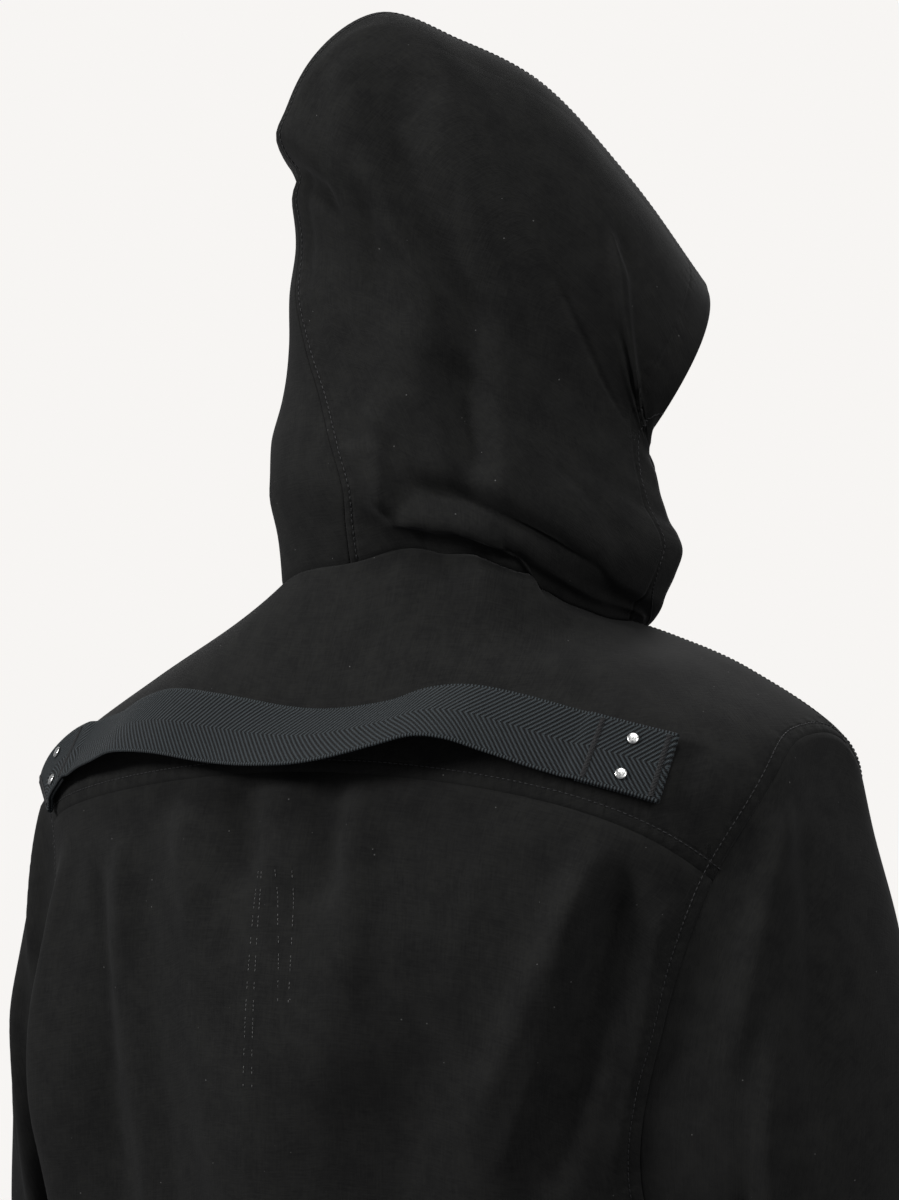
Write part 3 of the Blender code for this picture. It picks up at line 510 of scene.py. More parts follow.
TORSO_OUTWARD, HOOD_OUTWARD, SLEEVE_OUTWARD = 1, -1, -1
plain_torso = folded(torso_base, TORSO_OUTWARD, TORSO_FOLDS, TORSO_MM_PER_DEGREE)
torso = folded(torso_base, TORSO_OUTWARD, TORSO_FOLDS + TORSO_CREASES, TORSO_MM_PER_DEGREE, TORSO_ROLLS)
hood = folded(hood_base, HOOD_OUTWARD, HOOD_FOLDS + HOOD_CREASES, HOOD_MM_PER_DEGREE, HOOD_ROLLS)
sleeve = folded(sleeve_base, SLEEVE_OUTWARD, SLEEVE_FOLDS + SLEEVE_CREASES, SLEEVE_MM_PER_DEGREE)


def sleeve_right(angle, along):
    """The left sleeve mirrored, its start on the right armhole."""
    points = sleeve(angle, along) * (-1, 1, 1)
    start = torso(*armhole(angle, -1)) - torso(*armhole(angle)) * (-1, 1, 1)
    return points + start * (1 - smooth(along / SLEEVE_EASE))[..., None]


SLEEVES = (("left", 1, sleeve, SLEEVE_OUTWARD), ("right", -1, sleeve_right, -SLEEVE_OUTWARD))


# ---------------------------------------------------------------- cut of the pieces, as (angle, down)

def pairs(angle, down):
    angle, down = np.broadcast_arrays(np.asarray(angle, float), np.asarray(down, float))
    return np.stack([angle, down], axis=-1)


def ruled(first, last, rows):
    """Rows of straight lines between two lines with equal numbers of samples."""
    share = np.linspace(0, 1, rows)[:, None, None]
    return first[None] * (1 - share) + last[None] * share


def coons(top, bottom, left, right):
    """Patch inside four borders: the sum of both ways of joining opposite ones, less the corners' blend."""
    rows, columns = len(left), len(top)
    v = np.linspace(0, 1, rows)[:, None, None]
    u = np.linspace(0, 1, columns)[None, :, None]
    between = (1 - v) * top[None] + v * bottom[None] + (1 - u) * left[:, None] + u * right[:, None]
    corners = ((1 - v) * ((1 - u) * top[0] + u * top[-1]) + v * ((1 - u) * bottom[0] + u * bottom[-1]))
    return between - corners


def even_turns(first_turn, last_turn, steps):
    """Turns of the armhole that part this stretch of its seam into equal lengths."""
    fine = np.linspace(first_turn, last_turn, 400)
    length = run_lengths(torso_base(*armhole(fine)))
    return np.interp(np.linspace(0, length[-1], steps + 1), length, fine)


def armhole_line(first_turn, last_turn, steps, side):
    return pairs(*armhole(even_turns(first_turn, last_turn, steps), side))


def yoke_seam(steps):
    """The back yoke seam from the right armhole to the left one, a power curve of the angle."""
    end_angle, end_down = armhole(YOKE_BACK_TURN)
    angle = np.linspace(-end_angle, end_angle, 2 * steps + 1)
    return pairs(angle, YOKE_DOWN + (end_down - YOKE_DOWN) * np.abs(angle / end_angle) ** YOKE_CURVE)


def front_seam(side, steps):
    """The front yoke seam, straight from the armhole to the neck."""
    first = pairs(*armhole(YOKE_FRONT_TURN, side))
    last = pairs(side * NECK_YOKE, 0)
    return ruled(first[None], last[None], steps + 1)[:, 0]


def chest_line(angle):
    """Line across a panel from underarm to underarm; it hangs in the middle."""
    from_side = 1 - np.abs(np.cos(np.radians(angle)))
    return pairs(angle, ARMHOLE_BOTTOM + CHEST_SAG * (1 - from_side**2))


def neck_angles():
    """Neck samples of one half: behind, over the shoulder, and to the end of the hood."""
    behind = np.linspace(0, CORNER_NECK, YOKE_COLUMNS + 1)
    shoulder = np.linspace(CORNER_NECK, NECK_YOKE, SHOULDER_COLUMNS + 1)[1:]
    front = np.linspace(NECK_YOKE, NECK_END, NECK_COLUMNS + 1)[1:]
    return behind, shoulder, front


def yoke_patch():
    behind, shoulder, _ = neck_angles()
    half = np.concatenate([behind, shoulder])
    inner = pairs(np.concatenate([-half[:0:-1], half]), 0)
    right = armhole_line(YOKE_FRONT_TURN, YOKE_BACK_TURN, SHOULDER_COLUMNS, -1)
    left = armhole_line(YOKE_FRONT_TURN, YOKE_BACK_TURN, SHOULDER_COLUMNS, 1)[::-1]
    outer = np.concatenate([right[:-1], yoke_seam(YOKE_COLUMNS), left[1:]])
    return ruled(inner, outer, FRONT_ROWS + 1)


def back_patch():
    right = armhole_line(YOKE_BACK_TURN, 180, LEG_ROWS, -1)
    left = armhole_line(YOKE_BACK_TURN, 180, LEG_ROWS, 1)
    chest = chest_line(np.linspace(-90, 90, 2 * YOKE_COLUMNS + 1))
    hem = pairs(chest[:, 0], HEM_DOWN)
    upper = coons(yoke_seam(YOKE_COLUMNS), chest, right, left)
    return np.concatenate([upper, ruled(chest, hem, LOWER_ROWS + 1)[1:]])


def front_patch(side):
    _, _, neck = neck_angles()
    neck = np.concatenate([neck, np.linspace(NECK_END, 180, EDGE_COLUMNS + 1)[1:]])
    top = np.concatenate([front_seam(side, FRONT_ROWS), pairs(side * neck, 0)])
    outside = armhole_line(YOKE_FRONT_TURN, -180, LEG_ROWS, side)
    chest = chest_line(side * np.linspace(90, 180, len(top)))
    centre = pairs(side * 180, np.linspace(0, chest[-1, 1], LEG_ROWS + 1))
    hem = pairs(chest[:, 0], HEM_DOWN)
    return np.concatenate([coons(top, chest, outside, centre), ruled(chest, hem, LOWER_ROWS + 1)[1:]])


def sleeve_turns():
    """The armhole's samples in order round it, as its neighbours have them."""
    front = even_turns(YOKE_FRONT_TURN, -180, LEG_ROWS)[:0:-1]
    shoulder = even_turns(YOKE_FRONT_TURN, YOKE_BACK_TURN, SHOULDER_COLUMNS)[:-1]
    back = even_turns(YOKE_BACK_TURN, 180, LEG_ROWS)[:-1]
    return np.concatenate([front, shoulder, back])


# ---------------------------------------------------------------- finishes

MATH, RANGE, MIX, NOISE = "ShaderNodeMath", "ShaderNodeMapRange", "ShaderNodeMix", "ShaderNodeTexNoise"
SOFT_STEP = {"interpolation_type": "SMOOTHSTEP"}
COLOURS = {"data_type": "RGBA"}
ADD, MULTIPLY, ABSOLUTE, SINE, MULTIPLY_ADD = (
    {"operation": name} for name in ("ADD", "MULTIPLY", "ABSOLUTE", "SINE", "MULTIPLY_ADD"))


def linear(hex_colour):
    """sRGB hex as linear red, green, blue and an alpha of 1."""
    parts = [int(hex_colour[place:place + 2], 16) / 255 for place in (0, 2, 4)]
    return tuple(c / 12.92 if c <= 0.04045 else ((c + 0.055) / 1.055) ** 2.4 for c in parts) + (1.0,)


def add_node(tree, kind, settings=None, inputs=None, out=0):
    """Adds a node with its settings; an input is a value or a socket to link. Gives one of its outputs."""
    node = tree.nodes.new(kind)
    for name, value in (settings or {}).items():
        setattr(node, name, value)
    for name, value in (inputs or {}).items():
        if isinstance(value, bpy.types.NodeSocket):
            tree.links.new(value, node.inputs[name])
        else:
            node.inputs[name].default_value = value
    return node.outputs[out]


def new_finish(name, roughness, **sockets):
    """A material, its node tree and its shader, whose even values stand on its own sockets."""
    finish = bpy.data.materials.new(name)
    finish.use_nodes = True
    shader = finish.node_tree.nodes["Principled BSDF"]
    shader.inputs["Roughness"].default_value = roughness
    for label, value in sockets.items():
        shader.inputs[label.replace("_", " ")].default_value = value
    return finish, finish.node_tree, shader


def brushed_black_cotton():
    """Brushed matt black cotton, piece dyed: uneven yarns, a short nap in softly paler patches, some lint.

    The yarns are 0.5 mm apart on the real cloth and are drawn 1 mm wide so that they show. Beside a seam
    the doubled layer stands up, the stitches draw a groove and the cloth puckers between them.
    """
    finish, tree, shader = new_finish("brushed_black_cotton", 0.95, Sheen_Weight=0.03, Sheen_Roughness=0.5,
                                      Specular_IOR_Level=0.08)
    place = add_node(tree, "ShaderNodeTexCoord", out="Object")
    cloth = add_node(tree, "ShaderNodeUVMap", {"uv_map": "cloth"})
    streaks = []
    for across, along in ((1.0, 16.0), (13.0, 1.0)):
        yarn_scale = (1 / (across * MM), 1 / (along * MM), 0)
        stretched = add_node(tree, "ShaderNodeVectorMath", MULTIPLY, {0: cloth, 1: yarn_scale})
        streaks.append(add_node(tree, NOISE, {"noise_dimensions": "2D"},
                                {"Vector": stretched, "Scale": 1.0, "Detail": 1.5, "Roughness": 0.6}))
    yarns = add_node(tree, MATH, ADD, {0: streaks[0], 1: streaks[1]})
    nap = add_node(tree, NOISE, None, {"Vector": place, "Scale": 55.0, "Detail": 6.0, "Roughness": 0.65})
    grain = add_node(tree, NOISE, None, {"Vector": place, "Scale": 420.0, "Detail": 3.0})
    tone = add_node(tree, MATH, MULTIPLY_ADD, {0: yarns, 1: 0.38, 2: nap})
    tone = add_node(tree, MATH, MULTIPLY_ADD, {0: grain, 1: 0.42, 2: tone})
    depth = add_node(tree, RANGE, SOFT_STEP, {"Value": tone, "From Min": 0.70, "From Max": 1.46})
    body = add_node(tree, MIX, COLOURS,
                    {"Factor": depth, "A": linear("141414"), "B": linear("1f1f1e")}, out=2)
    speck = add_node(tree, "ShaderNodeTexVoronoi", None, {"Vector": place, "Scale": 75.0})
    lint = add_node(tree, RANGE, SOFT_STEP, {"Value": speck, "From Min": 0.022, "From Max": 0.034,
                                             "To Min": 0.55, "To Max": 0.0})
    colour = add_node(tree, MIX, COLOURS, {"Factor": lint, "A": body, "B": linear("6e6e6c")}, out=2)
    tree.links.new(colour, shader.inputs["Base Color"])

    seam = add_node(tree, "ShaderNodeSeparateXYZ", None,
                    {0: add_node(tree, "ShaderNodeUVMap", {"uv_map": "seam"})}).node
    run, past = seam.outputs[0], seam.outputs[1]
    apart = add_node(tree, MATH, ABSOLUTE, {0: past})
    layer = add_node(tree, RANGE, SOFT_STEP, {"Value": past, "From Min": -0.0008, "From Max": 0.001,
                                              "To Min": 0.55, "To Max": 0.0})
    groove = add_node(tree, RANGE, SOFT_STEP, {"Value": apart, "From Max": 0.0022, "To Min": -0.42,
                                               "To Max": 0.0})
    wander = add_node(tree, MATH, MULTIPLY, {0: nap, 1: 9.0})
    phase = add_node(tree, MATH, MULTIPLY_ADD, {0: run, 1: 2 * math.pi / PUCKER_PITCH, 2: wander})
    wave = add_node(tree, MATH, SINE, {0: phase})
    near = add_node(tree, RANGE, SOFT_STEP, {"Value": apart, "From Min": 0.0005, "From Max": 0.0085,
                                             "To Min": 0.14, "To Max": 0.0})
    edge = add_node(tree, MATH, ADD, {0: layer, 1: groove})
    uneven = add_node(tree, RANGE, SOFT_STEP, {"Value": nap, "From Min": 0.36, "From Max": 0.62,
                                               "To Max": 1.7})
    pucker = add_node(tree, MATH, MULTIPLY, {0: near, 1: uneven})
    relief = add_node(tree, MATH, MULTIPLY_ADD, {0: wave, 1: pucker, 2: edge})
    relief = add_node(tree, MATH, MULTIPLY_ADD, {0: yarns, 1: 0.11, 2: relief})
    relief = add_node(tree, MATH, MULTIPLY_ADD, {0: grain, 1: 0.10, 2: relief})
    bump = add_node(tree, "ShaderNodeBump", None, {"Strength": 1.0, "Distance": MM, "Height": relief})
    tree.links.new(bump, shader.inputs["Normal"])
    return finish


def herringbone_webbing():
    """Black woven webbing: slanting ribs that meet in a chevron along the middle, with tight edges.

    The ribs are 3.1 mm apart as on the strap; the yarns across them are drawn 1.2 mm apart, about twice the
    real ones. At the edges the yarns lie straight across, 1.8 mm apart.
    """
    finish, tree, shader = new_finish("herringbone_webbing", 0.72, Sheen_Weight=0.04, Sheen_Roughness=0.4,
                                      Specular_IOR_Level=0.2)
    cloth = add_node(tree, "ShaderNodeSeparateXYZ", None,
                     {0: add_node(tree, "ShaderNodeUVMap", {"uv_map": "cloth"})}).node
    from_middle = add_node(tree, MATH, ABSOLUTE, {0: cloth.outputs[0]})
    waves = []
    for slant, pitch in ((0.95, 0.0031), (-1.2, 0.0012), (0.0, 0.0018)):
        slanted = add_node(tree, MATH, MULTIPLY_ADD, {0: from_middle, 1: slant, 2: cloth.outputs[1]})
        turns = add_node(tree, MATH, MULTIPLY, {0: slanted, 1: 2 * math.pi / pitch})
        waves.append(add_node(tree, MATH, SINE, {0: turns}))
    ribs, yarns, edge_yarns = waves
    ribbed = add_node(tree, MATH, MULTIPLY_ADD, {0: yarns, 1: 0.45, 2: ribs})
    selvedge = add_node(tree, RANGE, SOFT_STEP, {"Value": from_middle, "From Min": 0.0178,
                                                 "From Max": 0.0188})
    height = add_node(tree, MIX, {"data_type": "FLOAT"}, {0: selvedge, 2: ribbed, 3: edge_yarns})
    # Painted highlight and shade: the raised ribs and yarns are painted paler and the hollows between them
    # darker, on top of their bump
    painted_rib_light = add_node(tree, RANGE, SOFT_STEP, {"Value": height, "From Min": -0.6, "From Max": 1.0})
    colour = add_node(tree, MIX, COLOURS,
                      {"Factor": painted_rib_light, "A": linear("050606"), "B": linear("343a3d")}, out=2)
    tree.links.new(colour, shader.inputs["Base Color"])
    bump = add_node(tree, "ShaderNodeBump", None, {"Strength": 1.0, "Distance": 0.3 * MM, "Height": height})
    tree.links.new(bump, shader.inputs["Normal"])
    return finish


def thread_finish(name, roughness, dark, light, scale):
    """Sewing thread, two-ply: a fine uneven twist of two tones, softly glossy."""
    finish, tree, shader = new_finish(name, roughness, Specular_IOR_Level=0.45)
    place = add_node(tree, "ShaderNodeTexCoord", out="Object")
    ply = add_node(tree, NOISE, None, {"Vector": place, "Scale": scale})
    colour = add_node(tree, MIX, COLOURS, {"Factor": ply, "A": linear(dark), "B": linear(light)}, out=2)
    tree.links.new(colour, shader.inputs["Base Color"])
    return finish


def tumbled_nickel_plate():
    """Nickel-plated brass, tumbled: bright silver with small handling marks that blur the highlight."""
    finish, tree, shader = new_finish("tumbled_nickel_plate", 0.3, Metallic=1.0)
    place = add_node(tree, "ShaderNodeTexCoord", out="Object")
    marks = add_node(tree, NOISE, None, {"Vector": place, "Scale": 900.0, "Detail": 3.0})
    colour = add_node(tree, MIX, COLOURS,
                      {"Factor": marks, "A": linear("c9c9c6"), "B": linear("e2e2df")}, out=2)
    tree.links.new(colour, shader.inputs["Base Color"])
    worn = add_node(tree, RANGE, SOFT_STEP, {"Value": marks, "From Min": 0.35, "From Max": 0.7,
                                             "To Min": 0.22, "To Max": 0.42})
    tree.links.new(worn, shader.inputs["Roughness"])
    return finish


def dyed_horn():
    """Black dyed horn, turned and polished: faint brown streaks along the grain, satin gloss."""
    finish, tree, shader = new_finish("dyed_horn", 0.32)
    place = add_node(tree, "ShaderNodeTexCoord", out="Object")
    grain = add_node(tree, "ShaderNodeMapping", None, {"Vector": place, "Scale": (420.0, 420.0, 90.0)})
    streak = add_node(tree, NOISE, None, {"Vector": grain, "Scale": 1.0, "Detail": 3.0})
    brown = add_node(tree, RANGE, SOFT_STEP, {"Value": streak, "From Min": 0.45, "From Max": 0.75})
    colour = add_node(tree, MIX, COLOURS,
                      {"Factor": brown, "A": linear("101010"), "B": linear("2b2522")}, out=2)
    tree.links.new(colour, shader.inputs["Base Color"])
    worn = add_node(tree, RANGE, SOFT_STEP, {"Value": streak, "From Min": 0.3, "From Max": 0.7,
                                             "To Min": 0.26, "To Max": 0.4})
    tree.links.new(worn, shader.inputs["Roughness"])
    return finish


def backdrop_paper():
    """Matt grey paper with a faint fibre."""
    finish, tree, shader = new_finish("backdrop_paper", 0.9)
    place = add_node(tree, "ShaderNodeTexCoord", out="Object")
    fibre = add_node(tree, NOISE, None, {"Vector": place, "Scale": 90.0, "Detail": 4.0})
    colour = add_node(tree, MIX, COLOURS,
                      {"Factor": fibre, "A": linear("77767a"), "B": linear("7e7d7f")}, out=2)
    tree.links.new(colour, shader.inputs["Base Color"])
    return finish


COTTON = brushed_black_cotton()
WEBBING = herringbone_webbing()
BLACK_THREAD = thread_finish("black_polyester_thread", 0.6, "111112", "232324", 1400.0)
GREY_THREAD = thread_finish("grey_cotton_thread", 0.7, "2c2c2c", "6a6a68", 300.0)
NICKEL = tumbled_nickel_plate()
HORN = dyed_horn()
PAPER = backdrop_paper()


# ---------------------------------------------------------------- meshes

FAR_FROM_SEAM = 40.0        # no seam shows in the cloth past this distance
SEAM_SAMPLE = 1.5           # between the places of a seam that points are measured from
SEAM_BATCH = 3000           # points measured at a time
SEAM_DIP = 0.45             # the cloth turns in this much at a sewn border


def quads_of(place):
    """Quads between the rows and columns of a grid of point numbers, row by row."""
    return np.stack([place[:-1, :-1], place[:-1, 1:], place[1:, 1:], place[1:, :-1]], axis=-1).reshape(-1, 4)


def closed_round(place):
    """A grid with its first column again after its last one."""
    return np.concatenate([place, place[:, :1]], axis=1)


def looks_along(points, face, facing):
    """Whether a face, judged by its first three corners, looks along a direction."""
    first, second, third = points[np.asarray(face[:3])]
    return np.dot(np.cross(second - first, third - second), facing) > 0


def make_piece(name, points, faces, finish, slot, nodes=(), maps=None):
    """One piece from points in millimetres, riding on the garment; maps give two values for each point."""
    mesh = bpy.data.meshes.new(name)
    mesh.from_pydata((np.asarray(points) * MM).tolist(), [], faces)
    corner = np.empty(len(mesh.loops), np.int32)
    mesh.loops.foreach_get("vertex_index", corner)
    for label, values in (maps or {}).items():
        layer = mesh.uv_layers.new(name=label)
        layer.uv.foreach_set("vector", (values[corner] * MM).astype(np.float32).ravel())
    mesh.update()
    mesh.shade_smooth()
    mesh.materials.append(finish)
    piece = bpy.data.objects.new(name, mesh)
    bpy.context.scene.collection.objects.link(piece)
    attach(piece, "root")
    if nodes:
        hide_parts(*nodes)
    return piece


def inset(points, facing, sides, closed):
    """Moves the named borders half a seam gap into the piece, square to the border, and a little inward."""
    points = points.copy()
    views = {"first": (points, facing), "last": (points[::-1], facing[::-1]),
             "left": (points.swapaxes(0, 1), facing.swapaxes(0, 1)),
             "right": (points.swapaxes(0, 1)[::-1], facing.swapaxes(0, 1)[::-1])}
    moves = []
    for side in sides:
        grid, grid_facing = views[side]
        line = grid[0]
        run = np.roll(line, -1, axis=0) - np.roll(line, 1, axis=0) if closed else np.gradient(line, axis=0)
        square = unit(np.cross(grid_facing[0], run))
        inward = np.sign(np.sum(square * (grid[1] - line), axis=-1, keepdims=True))
        moves.append((line, square * inward * SEAM_GAP / 2 - grid_facing[0] * SEAM_DIP))
    for line, move in moves:
        line += move
    return points


def border_loops(rows, columns, closed):
    """Places round the border of a grid: one loop, or the first and last rows of a tube."""
    place = np.arange(rows * columns).reshape(rows, columns)
    if closed:
        return [place[0], place[-1, ::-1]]
    return [np.concatenate([place[0, :-1], place[:-1, -1], place[-1, :0:-1], place[:0:-1, 0]])]


def wall(points, facing, thickness, closed, bulge=0.28):
    """Closed wall of even thickness under a grid; its rim swells through a middle line by a share of it."""
    rows, columns = points.shape[:2]
    place = np.arange(rows * columns).reshape(rows, columns)
    quads = quads_of(closed_round(place) if closed else place)
    outer = points.reshape(-1, 3)
    inner = outer - facing.reshape(-1, 3) * thickness
    inside = points.copy()
    inside[0], inside[-1] = points[1], points[-2]
    if not closed:
        inside[:, 0], inside[:, -1] = inside[:, 1].copy(), inside[:, -2].copy()
    away = outer - inside.reshape(-1, 3)
    away /= np.maximum(np.linalg.norm(away, axis=-1, keepdims=True), 1e-6)
    swollen = (outer + inner) / 2 + away * thickness * bulge
    below = rows * columns
    parts, rims, middle = [quads, quads[:, ::-1] + below], [], 2 * below
    for loop in border_loops(rows, columns, closed):
        ring = np.arange(len(loop)) + middle
        after, ring_after = np.roll(loop, -1), np.roll(ring, -1)
        parts.append(np.stack([after, loop, ring, ring_after], axis=-1))
        parts.append(np.stack([ring_after, ring, loop + below, after + below], axis=-1))
        rims.append(swollen[loop])
        middle += len(loop)
    face = quads[len(quads) // 2]
    faces = np.concatenate(parts)
    if not looks_along(outer, face, facing.reshape(-1, 3)[face[0]]):
        faces = faces[:, ::-1]
    return np.concatenate([outer, inner, *rims]), faces


def grid_lengths(points, closed):
    """Distances over the cloth: across from the middle column, and along from the first row."""
    across = np.linalg.norm(np.diff(points, axis=1), axis=-1)
    across = np.concatenate([np.zeros((len(points), 1)), np.cumsum(across, axis=1)], axis=1)
    if not closed:
        across -= across[:, points.shape[1] // 2][:, None]
    along = np.linalg.norm(np.diff(points, axis=0), axis=-1)
    along = np.concatenate([np.zeros((1, points.shape[1])), np.cumsum(along, axis=0)], axis=0)
    return np.stack([across, along], axis=-1)


def seam_lengths(points, seams):
    """For each point, the place along the nearest seam and the distance past its row of stitches."""
    flat = points.reshape(-1, 3)
    best = np.full(len(flat), FAR_FROM_SEAM)
    run = np.zeros(len(flat))
    for line, offset in seams:
        step = run_lengths(line)
        even = np.linspace(0, step[-1], int(step[-1] / SEAM_SAMPLE) + 2)
        line = points_at(even, step, line)
        for start in range(0, len(flat), SEAM_BATCH):
            part = slice(start, start + SEAM_BATCH)
            apart = np.linalg.norm(flat[part, None] - line[None], axis=-1)
            nearest = apart.argmin(axis=1)
            past = apart[np.arange(len(nearest)), nearest] - offset
            closer = past < best[part]
            best[part] = np.where(closer, past, best[part])
            run[part] = np.where(closer, even[nearest], run[part])
    return np.stack([run, best], axis=-1)


def cloth_piece(name, points, facing, seams=(), thickness=CLOTH, closed=False):
    """A cloth wall under a grid of points, in place of the node of its name."""
    rows, columns = points.shape[:2]
    made, faces = wall(points, facing, thickness, closed)
    maps = {}
    for label, values in (("cloth", grid_lengths(points, closed)), ("seam", seam_lengths(points, seams))):
        values = values.reshape(rows * columns, 2)
        rims = [values[loop] for loop in border_loops(rows, columns, closed)]
        maps[label] = np.concatenate([values, values, *rims])
    piece = make_piece(name + "_cloth", made, faces.tolist(), COTTON, "black_cloth", (name,), maps)


def patch_grid(surface, outward, patch, sides, lift=0.0, closed=False):
    """Points and outward directions of a patch of (angle, down) samples, its sewn sides drawn in."""
    angle, down = patch[..., 0], patch[..., 1]
    facing = normals(surface, angle, down, outward)
    return inset(surface(angle, down) + facing * lift, facing, sides, closed), facing


def turned(centre, facing, profile, sides, pits=()):
    """A profile of (radius, height) rows turned round an axis, closed by a pole at each end.

    Each pit is (distance from the axis, angle, radius, depth): a bell-shaped hollow in the upper face.
    """
    radius, height = np.array(profile, float).T
    first = unit(np.cross(facing, (0, 0, 1.0)))
    second = np.cross(facing, first)
    turn = np.arange(sides) * 2 * math.pi / sides
    x, y = radius[1:-1, None] * np.cos(turn), radius[1:-1, None] * np.sin(turn)
    level = np.repeat(height[1:-1, None], sides, axis=1)
    upper = np.arange(1, len(radius) - 1)[:, None] > len(radius) // 2
    for distance, angle, width, depth in pits:
        apart = (x - distance * math.cos(angle)) ** 2 + (y - distance * math.sin(angle)) ** 2
        level = level - upper * depth * np.exp(-apart / width**2)
    rings = centre + x[..., None] * first + y[..., None] * second + level[..., None] * facing
    poles = [centre + facing * height[0], centre + facing * height[-1]]
    count = len(rings) * sides
    place = closed_round(np.arange(count).reshape(-1, sides))
    faces = quads_of(place).tolist() + [[count, b, a] for a, b in zip(place[0], place[0, 1:])]
    faces += [[count + 1, a, b] for a, b in zip(place[-1], place[-1, 1:])]
    points = np.concatenate([rings.reshape(-1, 3), poles])
    if looks_along(points, faces[0], facing):
        faces = [face[::-1] for face in faces]
    return points, faces


# ---------------------------------------------------------------- rows of stitches

def beside(surface, angle, down, toward, distance, steps=4):
    """A line on the surface moved square to itself, toward a place, or away from it if distance is below 0.

    Each step solves for the change of both parameters from the surface's slopes.
    """
    aim = surface(*(np.array(value, float) for value in toward))
    for _ in range(steps):
        by_angle = (surface(angle + 0.25, down) - surface(angle - 0.25, down)) / 0.5
        by_down = surface(angle, down + 0.5) - surface(angle, down - 0.5)
        here = surface(angle, down)
        square = np.cross(np.cross(by_angle, by_down), np.gradient(here, axis=0))
        square *= np.sign(np.sum(square * (aim - here)))
        square *= distance / steps / np.linalg.norm(square, axis=-1, keepdims=True)
        aa, ad, dd = (np.sum(x * y, axis=-1) for x, y in
                      ((by_angle, by_angle), (by_angle, by_down), (by_down, by_down)))
        sa, sd = np.sum(square * by_angle, axis=-1), np.sum(square * by_down, axis=-1)
        angle = angle + (sa * dd - sd * ad) / (aa * dd - ad * ad)
        down = down + (sd * aa - sa * ad) / (aa * dd - ad * ad)
    return angle, down


def stitch_mesh(centres, runs, facings, length=STITCH_LENGTH, thread=THREAD):
    """Joined stitches: each a thread of round section that arches off the cloth and tapers into it."""
    stations = np.array([-0.5, -0.36, 0.0, 0.36, 0.5])
    radius = np.array([0.12, 0.8, 1.0, 0.8, 0.12]) * thread / 2
    rise = 0.35 * thread * (1 - 4 * stations**2) + 0.1 * thread - np.array([0.12, 0, 0, 0, 0.12])
    turn = np.arange(5) * 2 * math.pi / 5
    sideways = np.cross(facings, runs)
    points = (centres[:, None, None] + runs[:, None, None] * (stations * length)[:, None, None]
              + facings[:, None, None] * (rise[:, None] + radius[:, None] * np.cos(turn))[..., None]
              + sideways[:, None, None] * (radius[:, None] * np.sin(turn))[..., None])
    ring = np.arange(25).reshape(5, 5)
    # facing x run = sideways, so turning from facing to sideways runs backwards round the thread
    quads = quads_of(closed_round(ring))[:, ::-1]
    start = (np.arange(len(centres)) * 25)[:, None, None]
    caps = np.stack([ring[0], ring[-1, ::-1]])
    faces = (quads + start).reshape(-1, 4).tolist() + (caps + start).reshape(-1, 5).tolist()
    return points.reshape(-1, 3), faces


def stitch_row(surface, outward, line, toward=None, distance=0.0, lift=0.0, keep=None, pitch=STITCH_PITCH,
               **size):
    """A row of stitches on a surface beside a line of (angle, down) samples; keep picks places along it."""
    angle, down = line[:, 0], line[:, 1]
    if distance:
        angle, down = beside(surface, angle, down, toward, distance)
    facing = normals(surface, angle, down, outward)
    path = surface(angle, down) + facing * lift
    step = run_lengths(path)
    places = np.arange(pitch / 2, step[-1], pitch)
    if keep is not None:
        places = places[keep(places)]
    before, here, after = (points_at(places + move, step, path) for move in (-0.5, 0, 0.5))
    facings = points_at(places, step, facing)
    runs = unit(after - before)
    facings = unit(facings - runs * np.sum(facings * runs, axis=-1, keepdims=True))
    return stitch_mesh(here, runs, facings, **size)


def join(parts):
    """Points and faces of several meshes as one."""
    points, faces, start = [], [], 0
    for part_points, part_faces in parts:
        points.append(part_points)
        faces += [[place + start for place in face] for face in part_faces]
        start += len(part_points)
    return np.concatenate(points), faces


# ---------------------------------------------------------------- the garment

def on(surface, line):
    """Points of a surface along a line of (angle, down) samples."""
    return surface(line[..., 0], line[..., 1])


ARMHOLES = [pairs(*armhole(np.linspace(-180, 180, 361), side)) for side in (-1, 1)]
YOKE_LINE = yoke_seam(150)
FRONT_LINES = [front_seam(side, 80) for side in (-1, 1)]
HEM_LINE = pairs(np.linspace(-179, 179, 400), HEM_DOWN)


def sewn_to_armhole(surface, outward, turns, side):
    """The sleeve's wall directions at the armhole and its shift off the body's edge.

    The directions are the body's own, turned to the sleeve's where the sleeve leaves outwards.
    """
    body = normals(torso, *armhole(turns, side), TORSO_OUTWARD)
    own = normals(surface, turns, 0 * turns, outward)
    leaving = unit(surface(turns, 0 * turns + 10) - surface(turns, 0 * turns))
    lift = np.clip(np.sum(leaving * body, axis=-1, keepdims=True), 0, 1)
    both = unit(body + 2 * lift * own)
    seam = torso(*armhole(turns, side))
    square = unit(np.cross(body, np.roll(seam, -1, axis=0) - np.roll(seam, 1, axis=0)))
    square *= np.sign(np.sum(square * (seam.mean(axis=0) - seam), axis=-1, keepdims=True))
    return both, square * SEAM_GAP / 2 - both * SEAM_DIP


def make_body():
    armholes = [(on(torso, line), TOPSTITCH) for line in ARMHOLES]
    yoke_seams = armholes + [(on(torso, line), TOPSTITCH) for line in (YOKE_LINE, *FRONT_LINES)]
    lower_seams = armholes + [(on(torso, HEM_LINE), BODY_HEM)]
    sewn = ("first", "left", "right")
    cloth_piece("back_yoke", *patch_grid(torso, TORSO_OUTWARD, yoke_patch(), (*sewn, "last")), yoke_seams)
    cloth_piece("back_panel", *patch_grid(torso, TORSO_OUTWARD, back_patch(), sewn), lower_seams)
    for side, label in ((-1, "right"), (1, "left")):
        grid = patch_grid(torso, TORSO_OUTWARD, front_patch(side), sewn)
        cloth_piece(f"front_{label}", *grid, lower_seams)


